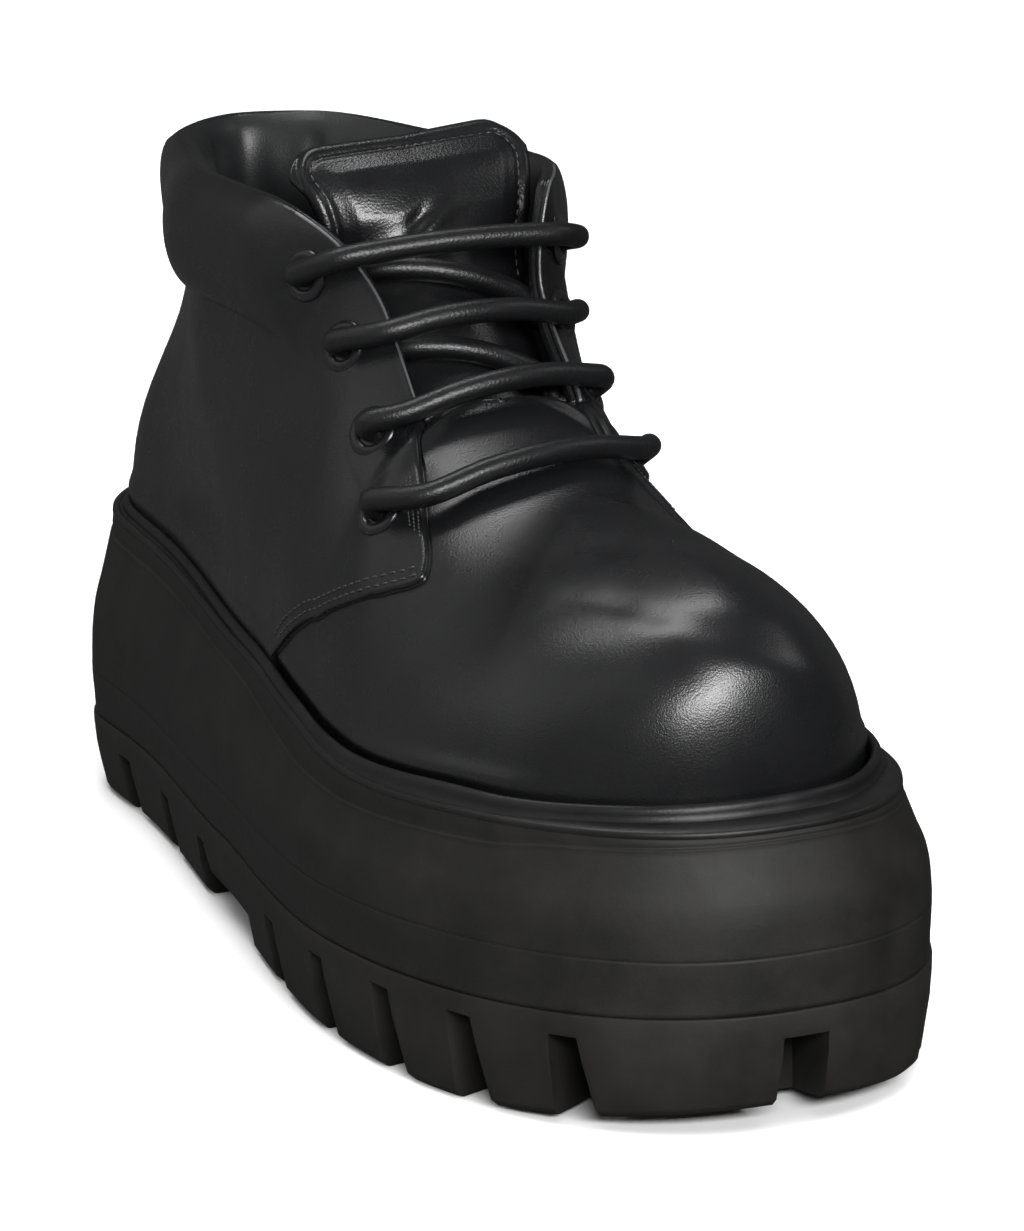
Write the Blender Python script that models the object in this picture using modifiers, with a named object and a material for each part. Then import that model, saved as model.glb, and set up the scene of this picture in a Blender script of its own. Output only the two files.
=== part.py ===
"""Chunky lace-up shoe, right foot: lugged platform sole, hollow leather upper, tongue, eyelets and lace.

Metres, +Z up. The toe points to -Y and the medial side to +X. The sole stands on z = 0.
The sole's loops come from one outline, and the upper, tongue, eyelets and lace from one upper surface.
"""

import math

import bmesh
import bpy
import numpy as np
from mathutils import Matrix, Vector

# ---------------------------------------------------------------- sizes
SOLE_LENGTH = 0.2985
HEEL_CAP = 0.0303           # length over which the heel rounds off
HEEL_POWER = 2.28           # 2 rounds as an ellipse, more is squarer
TOE_CAP = 0.079
TOE_POWER = 2.38
TOUCH_GAP = 0.0003          # what touching pieces keep between them
LATERAL, MEDIAL = -1, 1
HALF_LOOP_POINTS = 34       # points from heel to toe on each side of a loop
FINE = 600                  # points of the dense outline that the loops are read from

# The sole's sections from heel to toe. along is a part of SOLE_LENGTH.
SOLE_COLUMNS = ("along", "centre_x", "half_width", "rim_z", "step_z", "slot_z", "upper_inset")
SOLE_SECTIONS = np.array((
    (0.00, 0.0000, 0.0412, 0.0682, 0.0185, 0.0130, 0.0115),
    (0.14, 0.0000, 0.0412, 0.0646, 0.0190, 0.0135, 0.0110),
    (0.42, -0.0042, 0.0465, 0.0623, 0.0208, 0.0148, 0.0100),
    (0.55, -0.0042, 0.0522, 0.0610, 0.0218, 0.0155, 0.0098),
    (0.69, -0.0023, 0.0571, 0.0585, 0.0230, 0.0185, 0.0098),
    (0.85, 0.0022, 0.0554, 0.0613, 0.0246, 0.0203, 0.0110),
    (0.93, 0.0051, 0.0542, 0.0624, 0.0253, 0.0205, 0.0150),
    (1.00, 0.0080, 0.0531, 0.0630, 0.0260, 0.0205, 0.0175),
))
TOE_SPRING = 0.005
TOE_SPRING_FROM = 0.80
RIM_INSET = 0.0064
RIM_HEIGHT = 0.0055         # plain band under the rim's edge
RIM_STEP = 0.0006
BULGE_Z = 0.033             # where the platform's wall is widest
BOTTOM_INSET = 0.0042
LUG_INSET = 0.0024          # over the slant
STEP_INSET = 0.0008         # how far the platform stands back over the lugs

# Slots between the lugs, the same on both sides: place along the sole, width at the top, and how much further
# the toe-side wall stands off at the floor. The last one is in the middle of the toe.
SLOT_COLUMNS = ("along", "width", "flare")
SLOTS = (
    (0.0420, 0.0070, 0.0030), (0.0725, 0.0068, 0.0030),
    (0.1685, 0.0068, 0.0035), (0.2013, 0.0066, 0.0040), (0.2293, 0.0064, 0.0045),
    (0.2540, 0.0067, 0.0045), (0.2770, 0.0064, 0.0045),
)
TOE_SLOT = (SOLE_LENGTH, 0.0100, 0.0015)
SLOT_DEPTH = 0.018
HEEL_BREAST = (0.1075, 0.0060, 0.0110)      # as a slot, cut right across
ARCH = (0.104, 0.146)
ARCH_Z = 0.009
LUG_BEVEL = 0.0018          # height of the slant round the lugs' lower edge

WELT_THICKNESS = 0.0020
WELT_INSET = 0.0068
WELT_GAP = 0.0006           # the bead keeps this from the upper
BEAD_RADIUS = 0.0017
INSOLE_THICKNESS = 0.0045
INSOLE_DROP = 0.0005        # its top under the upper's foot line

# The upper's sections, heel to toe. Each is a curve up from the foot line to the top edge: the collar, then the
# facing, then the vamp's tab and ridge. foot is a part of the foot line, lean and slope are degrees, rise and
# crown are the curve's handles as parts of its chord, and pad is the share of the collar's padding.
UPPER_COLUMNS = (
    "foot", "lat_x", "lat_y", "lat_z", "med_x", "med_y", "med_z", "lean", "rise", "slope", "crown", "pad",
)
UPPER_SECTIONS = np.array((
    (0.000, 0.0000, 0.1325, 0.1530, 0.0000, 0.1325, 0.1530, 5.0, 0.42, 90.0, 0.51, 1.0),     # heel back
    (0.080, -0.0180, 0.1205, 0.1535, 0.0185, 0.1225, 0.1535, 2.0, 0.40, 108.0, 0.52, 1.0),   # heel turn
    (0.180, -0.0275, 0.0930, 0.1555, 0.0290, 0.0955, 0.1545, 0.0, 0.40, 98.0, 0.47, 1.0),    # ankle
    (0.290, -0.0345, 0.0645, 0.1582, 0.0332, 0.0648, 0.1573, 0.0, 0.40, 86.0, 0.42, 1.0),    # collar side
    (0.390, -0.0320, 0.0345, 0.1590, 0.0335, 0.0360, 0.1600, -0.5, 0.38, 83.0, 0.38, 0.8),   # collar front
    (0.455, -0.0244, 0.0120, 0.1524, 0.0230, 0.0075, 0.1618, -0.5, 0.34, 75.0, 0.36, 0.0),   # facing top
    (0.500, -0.0195, -0.0035, 0.1390, 0.0170, 0.0000, 0.1396, -0.5, 0.28, 51.0, 0.34, 0.0),  # facing
    (0.560, -0.0194, -0.0200, 0.1210, 0.0173, -0.0190, 0.1195, -0.5, 0.21, 32.5, 0.31, 0.0),  # tab corner
    (0.660, -0.0005, -0.0215, 0.1240, -0.0005, -0.0215, 0.1240, -1.0, 0.19, 0.0, 0.32, 0.0),  # tab middle
    (0.800, 0.0053, -0.0520, 0.1100, 0.0053, -0.0520, 0.1100, -2.0, 0.33, 0.0, 0.46, 0.0),   # vamp ridge
    (1.000, 0.0089, -0.0845, 0.1075, 0.0089, -0.0845, 0.1075, 0.0, 0.48, 0.0, 0.59, 0.0),    # toe
))
COLLAR_FRONT, TAB_CORNER, TAB_MIDDLE, TOE = 4, 7, 8, 10   # section numbers
TAB_ARCH = 0.0015
FOOT_RISE = 0.003           # the foot line's height over the rim
COLLAR_DROP = 0.027         # the padded roll's height
PAD_OUT = 0.0057            # how far the padding swells outwards
PAD_IN = 0.0045             # and inwards
QUARTER_LIFT = 0.0006       # the quarters' leather stands out over the vamp's
VAMP_LIFT = -0.0006
WALL_INNER = -0.0024        # the lining's face

# The quarter's front edge: height up a section against the section it reaches.
QUARTER_EDGE = np.array((
    (0.000, 5.57), (0.054, 5.80), (0.220, 6.60), (0.333, 7.15), (0.373, 7.60), (0.407, 7.96), (0.461, 8.19),
    (0.513, 8.37), (0.543, 8.36), (0.611, 8.23), (0.685, 8.04), (0.804, 7.57), (1.000, 7.00),
))
QUARTER_COLUMNS = 18
COLUMN_CROWDING = 1.15      # over 1 brings the columns closer together round the heel
VAMP_COLUMNS = 12           # a multiple of three, so that one lies on the tab's middle
UPPER_ROWS = (0.0, 0.08, 0.18, 0.28, 0.36, 0.42, 0.48, 0.54, 0.61, 0.68, 0.74, 0.80, 0.86, 0.91, 0.96, 1.0)


# ---------------------------------------------------------------- curves
def smooth(xs, ys, x, level_start=False, level_end=False):
    """Monotone cubic through (xs, ys), where ys may have several columns. An end can be made level."""
    xs = np.asarray(xs, float)
    ys = np.asarray(ys, float)
    if ys.ndim > 1:
        columns = [smooth(xs, ys[:, k], x, level_start, level_end) for k in range(ys.shape[1])]
        return np.column_stack(columns)
    step = np.diff(xs)
    rise = np.diff(ys) / step
    slope = np.zeros(len(xs))
    for i in range(1, len(xs) - 1):
        if rise[i - 1] * rise[i] > 0:
            w1 = 2 * step[i] + step[i - 1]
            w2 = step[i] + 2 * step[i - 1]
            slope[i] = (w1 + w2) / (w1 / rise[i - 1] + w2 / rise[i])
    slope[0] = 0 if level_start else rise[0]
    slope[-1] = 0 if level_end else rise[-1]
    x = np.clip(x, xs[0], xs[-1])
    i = np.clip(np.searchsorted(xs, x) - 1, 0, len(xs) - 2)
    t = (x - xs[i]) / step[i]
    return (
        ys[i] * (1 + 2 * t) * (1 - t) ** 2
        + slope[i] * step[i] * t * (1 - t) ** 2
        + ys[i + 1] * t * t * (3 - 2 * t)
        + slope[i + 1] * step[i] * t * t * (t - 1)
    )


def ease(t):
    t = np.clip(t, 0.0, 1.0)
    return t * t * (3 - 2 * t)


def unit(v):
    return v / np.maximum(np.linalg.norm(v, axis=-1, keepdims=True), 1e-12)


# ---------------------------------------------------------------- sole outline
def sole(column, along):
    """A column of the sole's table at a distance along the sole."""
    k = SOLE_COLUMNS.index(column)
    return smooth(SOLE_SECTIONS[:, 0] * SOLE_LENGTH, SOLE_SECTIONS[:, k], along)


def edge(side):
    """Dense widest outline of one side, heel to toe: place along the sole, points and outward normals."""
    s = SOLE_LENGTH * (1 - np.cos(np.linspace(0, math.pi, FINE))) / 2
    heel = np.clip(1 - s / HEEL_CAP, 0, 1)
    toe = np.clip(1 - (SOLE_LENGTH - s) / TOE_CAP, 0, 1)
    half = sole("half_width", s) * (1 - heel**HEEL_POWER) ** (1 / HEEL_POWER)
    half = half * (1 - toe**TOE_POWER) ** (1 / TOE_POWER)
    points = np.column_stack([sole("centre_x", s) + side * half, SOLE_LENGTH / 2 - s])
    tangent = unit(np.gradient(points, axis=0))
    normal = side * np.column_stack([-tangent[:, 1], tangent[:, 0]])
    normal[0] = (0, 1)
    normal[-1] = (0, -1)
    return s, points, normal


def along_length(points):
    d = np.concatenate([[0], np.cumsum(np.linalg.norm(np.diff(points, axis=0), axis=1))])
    return d / d[-1]


EDGES = {side: edge(side) for side in (LATERAL, MEDIAL)}


def half_loop(side, inset, height, count=HALF_LOOP_POINTS):
    """Points heel to toe at an inset from the widest outline and a height, each a function of the place along."""
    s, points, normal = EDGES[side]
    f = np.linspace(0, 1, count)
    d = along_length(points)
    s = np.interp(f, d, s)
    xy = np.column_stack([np.interp(f, d, points[:, k]) for k in range(2)])
    n = unit(np.column_stack([np.interp(f, d, normal[:, k]) for k in range(2)]))
    xy = xy - n * np.reshape(inset(s), (-1, 1))
    return np.column_stack([xy, height(s)])


def loop(inset, height):
    """A closed loop: heel to toe on the lateral side, and back on the medial one."""
    lateral = half_loop(LATERAL, inset, height)
    medial = half_loop(MEDIAL, inset, height)
    return np.concatenate([lateral, medial[-2:0:-1]])


def even(value):
    return lambda s: np.full_like(s, value)


# ---------------------------------------------------------------- upper surface
def foot_line(side):
    """Dense line where the upper meets the welt: share of its length, points and outward normals."""
    s, points, normal = EDGES[side]
    xy = points - normal * sole("upper_inset", s)[:, None]
    xy[0, 0] = 0.0
    line = np.column_stack([xy, sole("rim_z", s) + FOOT_RISE])
    return along_length(xy), line, normal


FOOT_LINES = {side: foot_line(side) for side in (LATERAL, MEDIAL)}
NUMBERS = np.arange(len(UPPER_SECTIONS))


def section(column, a):
    """A column of the upper's table. Both ends are level, so that the two sides meet without a crease."""
    level = column != "foot"
    return smooth(NUMBERS, UPPER_SECTIONS[:, UPPER_COLUMNS.index(column)], a, level, level)


def top_edge(side, a):
    """The top edge at section number a: collar and facing, straight over the tab, then down the ridge."""
    lateral = UPPER_SECTIONS[:, 1:4]
    medial = UPPER_SECTIONS[:, 4:7]
    rows, other = (lateral, medial) if side == LATERAL else (medial, lateral)
    round_heel = np.vstack([other[2:0:-1], rows[:TAB_CORNER + 1]])
    collar = smooth(np.arange(-2, TAB_CORNER + 1), round_heel, np.minimum(a, TAB_CORNER))
    ridge = smooth(NUMBERS[TAB_MIDDLE:], rows[TAB_MIDDLE:], np.maximum(a, TAB_MIDDLE), level_end=True)
    t = np.clip(a - TAB_CORNER, 0, 1)[:, None]
    tab = rows[TAB_CORNER] * (1 - t) + rows[TAB_MIDDLE] * t
    tab[:, 2] += 4 * TAB_ARCH * (t * (1 - t))[:, 0]
    return np.where((a < TAB_CORNER)[:, None], collar, np.where((a < TAB_MIDDLE)[:, None], tab, ridge))


def ridge_run(a):
    """The level direction in which the vamp's ridge runs towards the toe, and how steeply it falls."""
    step = 0.01
    at = np.clip(a, TAB_MIDDLE + 2 * step, TOE - 5 * step)
    ahead = top_edge(LATERAL, at + step) - top_edge(LATERAL, at - step)
    run = np.linalg.norm(ahead[:, :2], axis=1)
    return ahead[:, :2] / run[:, None], -ahead[:, 2] / run


def upper_point(side, a, v):
    """Points of the upper's middle surface, for equal arrays of section number a and height v from 0 to 1."""
    share, line, normal = FOOT_LINES[side]
    foot = section("foot", a)
    low = np.column_stack([np.interp(foot, share, line[:, k]) for k in range(3)])
    out = unit(np.column_stack([np.interp(foot, share, normal[:, k]) for k in range(2)]))
    top = top_edge(side, a)
    chord = np.linalg.norm(top - low, axis=1)[:, None]
    lean = np.radians(section("lean", a))[:, None]
    first = np.column_stack([out * np.sin(lean), np.cos(lean)])
    # At the top a section leaves outwards: by the foot's normal at the collar, towards the foot at the facing,
    # and over the ridge sideways at the tab, turning forwards to the toe.
    to_foot = unit(low[:, :2] - top[:, :2])
    quarter = np.clip((a - 3) / 2, 0, 1)[:, None]
    level = unit(out * (1 - quarter) + to_foot * quarter)
    turn = np.clip((a - TAB_MIDDLE) / (TOE - TAB_MIDDLE), 0, 1) * math.pi / 2
    over = np.column_stack([side * np.cos(turn), -np.sin(turn)])
    vamp = ease(a - TAB_CORNER)
    level = unit(level * (1 - vamp)[:, None] + over * vamp[:, None])
    run, steepness = ridge_run(a)
    fall = np.arctan(steepness * (level * run).sum(axis=1))
    slope = (np.radians(section("slope", a)) * (1 - vamp) + fall * vamp)[:, None]
    last = np.column_stack([level * np.cos(slope), -np.sin(slope)])
    p1 = low + chord * section("rise", a)[:, None] * first
    p2 = top + chord * section("crown", a)[:, None] * last
    t = v[:, None]
    point = (1 - t) ** 3 * low + 3 * (1 - t) ** 2 * t * p1 + 3 * (1 - t) * t * t * p2 + t**3 * top
    half = COLLAR_DROP / 2
    swell = np.clip(1 - ((top[:, 2] - point[:, 2] - half) / half) ** 2, 0, None) ** 0.6 * section("pad", a)
    return point, np.column_stack([out, np.zeros(len(a))]), swell


def upper_skin(side, a, v, lift, padding):
    """The surface at a distance out from the middle one, with the collar's padding added sideways."""
    d = 1e-3
    point, out, swell = upper_point(side, a, v)
    a0 = np.clip(a - d, 0, TOE)
    a1 = np.clip(a + d, 0, TOE)
    v0 = np.clip(v - d, 0, 1)
    v1 = np.clip(v + d, 0, 1)
    da = upper_point(side, a1, v)[0] - upper_point(side, a0, v)[0]
    dv = upper_point(side, a, v1)[0] - upper_point(side, a, v0)[0]
    normal = unit(side * np.cross(dv, da))
    return point + normal * lift + out * (swell * padding)[:, None]


def upper_at(side, a, v):
    """One point of the quarter's leather and the outward normal there."""
    a = np.array([float(a)])
    v = np.array([float(v)])
    low = upper_skin(side, a, v, QUARTER_LIFT, PAD_OUT)[0]
    high = upper_skin(side, a, v, QUARTER_LIFT + 0.001, PAD_OUT)[0]
    return Vector(low), Vector(unit(high - low))


# ---------------------------------------------------------------- Blender helpers
def clear_scene():
    for obj in list(bpy.data.objects):
        bpy.data.objects.remove(obj, do_unlink=True)


def new_collection(name):
    collection = bpy.data.collections.new(name)
    bpy.context.scene.collection.children.link(collection)
    return collection


def material(name, colour, roughness, metallic=0.0):
    made = bpy.data.materials.new(name)
    made.use_nodes = True
    shader = made.node_tree.nodes["Principled BSDF"]
    shader.inputs["Base Color"].default_value = (*colour, 1.0)
    shader.inputs["Roughness"].default_value = roughness
    shader.inputs["Metallic"].default_value = metallic
    return made


def add_object(name, mesh, collection, finish=None):
    obj = bpy.data.objects.new(name, mesh)
    collection.objects.link(obj)
    if finish:
        mesh.materials.append(finish)
    return obj


def add_mesh(name, points, faces, collection, finish=None):
    mesh = bpy.data.meshes.new(name)
    mesh.from_pydata([tuple(map(float, p)) for p in points], [], faces)
    mesh.validate()
    return add_object(name, mesh, collection, finish)


def loft(name, loops, collection, finish, ring=False):
    """Closed loops joined in order. The ends are closed straight across, or joined to each other on a ring."""
    count = len(loops[0])
    half = count // 2
    points = np.concatenate(loops)
    faces = []
    pairs = list(zip(range(len(loops) - 1), range(1, len(loops))))
    if ring:
        pairs.append((len(loops) - 1, 0))
    for low, high in pairs:
        for i in range(count):
            j = (i + 1) % count
            faces.append((low * count + i, low * count + j, high * count + j, high * count + i))
    if not ring:
        for start, turned in ((0, True), ((len(loops) - 1) * count, False)):
            for i in range(half):
                quad = [start + i, start + i + 1, start + (count - i - 1) % count, start + (count - i) % count]
                quad = list(dict.fromkeys(quad))
                if len(quad) > 2:
                    faces.append(tuple(quad[::-1]) if turned else tuple(quad))
    return add_mesh(name, points, faces, collection, finish)


def cut(obj, cutter):
    modifier = obj.modifiers.new("cut_" + cutter.name, "BOOLEAN")
    modifier.operation = "DIFFERENCE"
    modifier.object = cutter


def helper(obj):
    obj.hide_render = True
    obj.display_type = "WIRE"
    return obj


def flared_boxes(name, placed, collection):
    """One cutter made of boxes: each a matrix, a size, and how far the lower edge at +Y is drawn out."""
    bm = bmesh.new()
    for matrix, size, flare in placed:
        made = bmesh.ops.create_cube(bm, size=1.0, matrix=Matrix.Diagonal((*size, 1.0)))
        for vertex in made["verts"]:
            if vertex.co.z < 0 and vertex.co.y * flare > 0:
                vertex.co.y += flare
        bmesh.ops.transform(bm, matrix=matrix, verts=made["verts"])
    mesh = bpy.data.meshes.new(name)
    bm.to_mesh(mesh)
    bm.free()
    return helper(add_object(name, mesh, collection))


# ---------------------------------------------------------------- sole
def spring(s):
    """How far the tread lifts off the floor towards the toe."""
    return TOE_SPRING * np.clip((s / SOLE_LENGTH - TOE_SPRING_FROM) / (1 - TOE_SPRING_FROM), 0, 1) ** 2


def step_z(s):
    return sole("step_z", s)


def rim_z(s):
    return sole("rim_z", s)


def platform_top(s):
    return rim_z(s) - WELT_THICKNESS - TOUCH_GAP


def slot_box(side, slot, top, length, under):
    """A slot's matrix, size and flare, from its outer end inwards and from under the floor up."""
    along, width, flare = slot
    s, points, normal = EDGES[side]
    i = int(np.argmin(np.abs(s - along)))
    out = Vector((*normal[i], 0.0))
    turn = out.to_track_quat("X", "Z").to_matrix().to_4x4()
    centre = Vector((*points[i], (top - under) / 2)) - out * (length / 2 - under)
    return Matrix.Translation(centre) @ turn, (length, width, top + under), -side * flare


def outsole(parts, cutters, finish):
    under = 0.004
    rows = (
        (BOTTOM_INSET, spring),
        (LUG_INSET, lambda s: spring(s) + LUG_BEVEL),
        (0.0005, lambda s: 0.62 * step_z(s)),
        (0.0, step_z),
    )
    body = loft("outsole", [loop(even(inset), height) for inset, height in rows], parts, finish)
    placed = []
    for slot in SLOTS:
        top = float(sole("slot_z", np.array([slot[0]]))[0])
        placed += [slot_box(side, slot, top, SLOT_DEPTH + under, under) for side in (LATERAL, MEDIAL)]
    top = float(sole("slot_z", np.array([SOLE_LENGTH]))[0])
    placed.append(slot_box(MEDIAL, TOE_SLOT, top, SLOT_DEPTH + under, under))
    cut(body, flared_boxes("slot_cutters", placed, cutters))

    across = 2 * SOLE_SECTIONS[:, 2].max()
    along, width, flare = HEEL_BREAST
    turn = Matrix.Rotation(math.pi, 4, "Z")
    for name, start, end, high, drawn in (
        ("breast_cutter", along - width / 2, along + width / 2, float(sole("slot_z", np.array([along]))[0]), flare),
        ("arch_cutter", ARCH[0], ARCH[1], ARCH_Z, 0.0),
    ):
        centre = Vector((0, SOLE_LENGTH / 2 - (start + end) / 2, (high - under) / 2))
        size = (across, end - start, high + under)
        cut(body, flared_boxes(name, [(Matrix.Translation(centre) @ turn, size, drawn)], cutters))


def midsole(parts, finish):
    rows = (
        (STEP_INSET, lambda s: step_z(s) + TOUCH_GAP),
        (0.0, even(BULGE_Z)),
        (0.0010, lambda s: BULGE_Z + 0.45 * (rim_z(s) - BULGE_Z)),
        (0.0034, lambda s: BULGE_Z + 0.72 * (rim_z(s) - BULGE_Z)),
        (RIM_INSET - RIM_STEP * 2, lambda s: rim_z(s) - RIM_HEIGHT),
        (RIM_INSET - RIM_STEP, lambda s: rim_z(s) - RIM_HEIGHT + RIM_STEP),
        (RIM_INSET, platform_top),
    )
    loft("midsole", [loop(even(inset), height) for inset, height in rows], parts, finish)


def welt(parts, finish):
    """Flat band with the rolled bead along its inner side, one closed ring round the shoe."""
    def inner(s):
        return sole("upper_inset", s) - QUARTER_LIFT - WELT_GAP

    def bead(angle):
        return lambda s: inner(s) - BEAD_RADIUS * (1 - math.cos(angle))

    def bead_z(angle):
        return lambda s: rim_z(s) + 1.3 * BEAD_RADIUS * math.sin(angle)

    rows = [(even(WELT_INSET), lambda s: rim_z(s) - WELT_THICKNESS), (even(WELT_INSET), rim_z)]
    for degrees in (180, 135, 90, 45):
        angle = math.radians(degrees)
        rows.append((bead(angle), bead_z(angle)))
    rows.append((inner, rim_z))
    rows.append((inner, lambda s: rim_z(s) - WELT_THICKNESS))
    loft("welt", [loop(inset, height) for inset, height in rows], parts, finish, ring=True)


# ---------------------------------------------------------------- upper
def upper_columns():
    """Each column's section numbers up the rows, its outer lift, and whether the lining has it too."""
    v = np.array(UPPER_ROWS)
    front = smooth(QUARTER_EDGE[:, 0], QUARTER_EDGE[:, 1], v)
    columns = []
    for k in range(QUARTER_COLUMNS + 1):
        columns.append((front * (k / QUARTER_COLUMNS) ** COLUMN_CROWDING, QUARTER_LIFT, True))
    for k in range(VAMP_COLUMNS + 1):
        columns.append((front + (TOE - front) * k / VAMP_COLUMNS, VAMP_LIFT, k > 0))
    return v, columns


def insole(parts, finish):
    """Footbed that fills the inside of the wall's foot, column for column."""
    _, columns = upper_columns()
    sides = {}
    for side in (LATERAL, MEDIAL):
        a = np.array([numbers[0] for numbers, _, lined in columns if lined])
        sides[side] = upper_skin(side, a, np.zeros(len(a)), WALL_INNER - TOUCH_GAP, 0)
    for end in (0, -1):
        sides[LATERAL][end, 0] = (sides[LATERAL][end, 0] + sides[MEDIAL][end, 0]) / 2
    ring = np.concatenate([sides[LATERAL], sides[MEDIAL][-2:0:-1]])
    top = ring - (0, 0, INSOLE_DROP)
    under = top - (0, 0, INSOLE_THICKNESS)
    loft("insole", [under, top], parts, finish)


def upper(parts, finish):
    v, columns = upper_columns()
    points = []
    grid = {}

    def column(side, number, layer):
        a, lift, lined = columns[number]
        if layer == "inner":
            lift = WALL_INNER
        padding = PAD_OUT if layer == "outer" else -PAD_IN
        skin = upper_skin(side, a, v, lift, padding)
        foot = skin[0].copy()
        share = section("foot", a[:1])
        s = np.interp(share, FOOT_LINES[side][0], EDGES[side][0])
        foot[2] = rim_z(s)[0] - WELT_THICKNESS
        return np.vstack([foot, skin])

    rows = len(v) + 1
    last = len(columns) - 1
    middle = QUARTER_COLUMNS + 1 + VAMP_COLUMNS // 3
    for layer in ("outer", "inner"):
        for number in range(len(columns)):
            if layer == "inner" and not columns[number][2]:
                continue
            lateral = column(LATERAL, number, layer)
            medial = column(MEDIAL, number, layer)
            if number in (0, last):
                lateral = medial = (lateral + medial) / 2
            if number >= middle:
                lateral[-1] = medial[-1] = (lateral[-1] + medial[-1]) / 2
            for row in range(rows):
                grid[LATERAL, layer, number, row] = len(points)
                points.append(lateral[row])
                one = number in (0, last) or (number >= middle and row == rows - 1)
                if not one:
                    grid[MEDIAL, layer, number, row] = len(points)
                    points.append(medial[row])
                else:
                    grid[MEDIAL, layer, number, row] = grid[LATERAL, layer, number, row]

    faces = []

    def add(corners, turned):
        corners = list(dict.fromkeys(corners))
        if len(corners) > 2:
            faces.append(tuple(corners[::-1]) if turned else tuple(corners))

    lined = [number for number in range(len(columns)) if columns[number][2]]
    for side in (LATERAL, MEDIAL):
        for layer, numbers in (("outer", range(len(columns))), ("inner", lined)):
            numbers = list(numbers)
            for i, j in zip(numbers, numbers[1:]):
                for row in range(rows - 1):
                    corners = [grid[side, layer, i, row], grid[side, layer, j, row],
                               grid[side, layer, j, row + 1], grid[side, layer, i, row + 1]]
                    add(corners, (side == MEDIAL) != (layer == "inner"))
        for i in range(last):
            j = i + 1
            under = {number: number if columns[number][2] else number - 1 for number in (i, j)}
            for row, turned in ((0, True), (rows - 1, False)):
                if row and i >= middle:
                    continue
                corners = [grid[side, "outer", i, row], grid[side, "outer", j, row],
                           grid[side, "inner", under[j], row], grid[side, "inner", under[i], row]]
                add(corners, (side == MEDIAL) != turned)
    return add_mesh("upper", points, faces, parts, finish)


# ---------------------------------------------------------------- eyelets and lace
# Where the eyelets sit, top pair first: section number and height up it.
EYELET_COLUMNS = ("lateral_section", "lateral_height", "medial_section", "medial_height")
EYELETS = (
    (4.73, 0.895, 5.18, 0.880), (5.62, 0.840, 5.86, 0.865), (6.68, 0.820, 6.70, 0.880), (7.72, 0.575, 7.58, 0.640),
)
LACE_RADIUS = 0.00255
EYELET_BORE = 0.0030
EYELET_BARREL = 0.0036
EYELET_HOLE = 0.0040
EYELET_FLANGE = 0.00575
EYELET_SEAT = 0.00630       # shallow round seat that the flange is pressed into
EYELET_SIDES = 12
BARREL_DEPTH = 0.0036       # from the outer leather inwards
FLANGE_GAP = 0.0001


def placed_on(point, normal):
    return Matrix.Translation(point) @ normal.to_track_quat("Z", "Y").to_matrix().to_4x4()


def eyelet_places():
    for side, name in ((LATERAL, "lateral"), (MEDIAL, "medial")):
        for number, row in enumerate(EYELETS, start=1):
            a, v = row[:2] if side == LATERAL else row[2:]
            yield side, name, number, *upper_at(side, a, v)


def eyelet_cutter(name, radius, low, high, cutters):
    """Cylinders on all the eyelets' axes, from a depth under the leather's face to a height over it."""
    bm = bmesh.new()
    for _, _, _, point, normal in eyelet_places():
        bmesh.ops.create_cone(
            bm, cap_ends=True, segments=EYELET_SIDES, radius1=radius, radius2=radius,
            depth=high - low, matrix=placed_on(point + normal * (low + high) / 2, normal),
        )
    mesh = bpy.data.meshes.new(name)
    bm.to_mesh(mesh)
    bm.free()
    return helper(add_object(name, mesh, cutters))


def eyelet(name, point, normal, parts, finish):
    """A turned ring: a barrel through the leather under a rolled flange."""
    profile = (
        (EYELET_BORE, FLANGE_GAP + 0.0003), (EYELET_FLANGE - 0.0014, FLANGE_GAP + 0.0009),
        (EYELET_FLANGE - 0.0004, FLANGE_GAP + 0.0006), (EYELET_FLANGE, FLANGE_GAP),
        (EYELET_BARREL, FLANGE_GAP), (EYELET_BARREL, -BARREL_DEPTH), (EYELET_BORE, -BARREL_DEPTH),
    )
    count = len(profile)
    mesh = bpy.data.meshes.new(name)
    mesh.from_pydata([(r, 0.0, z) for r, z in profile], [(i, (i + 1) % count) for i in range(count)], [])
    obj = add_object(name, mesh, parts, finish)
    obj.matrix_world = placed_on(point, normal)
    turned = obj.modifiers.new("turn", "SCREW")
    turned.steps = turned.render_steps = EYELET_SIDES
    turned.use_merge_vertices = True
    turned.merge_threshold = 0.00001


# ---------------------------------------------------------------- tongue
# Its rows from the vamp up. along runs up the throat's slope from the origin, and under is square to it, inwards.
# The sides drop back under the facings, with room there for the lace.
TONGUE_SLOPE = math.radians(44)
THROAT_ALONG = np.array((0.0, math.cos(TONGUE_SLOPE), math.sin(TONGUE_SLOPE)))
THROAT_UNDER = np.array((0.0, math.sin(TONGUE_SLOPE), -math.cos(TONGUE_SLOPE)))
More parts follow.
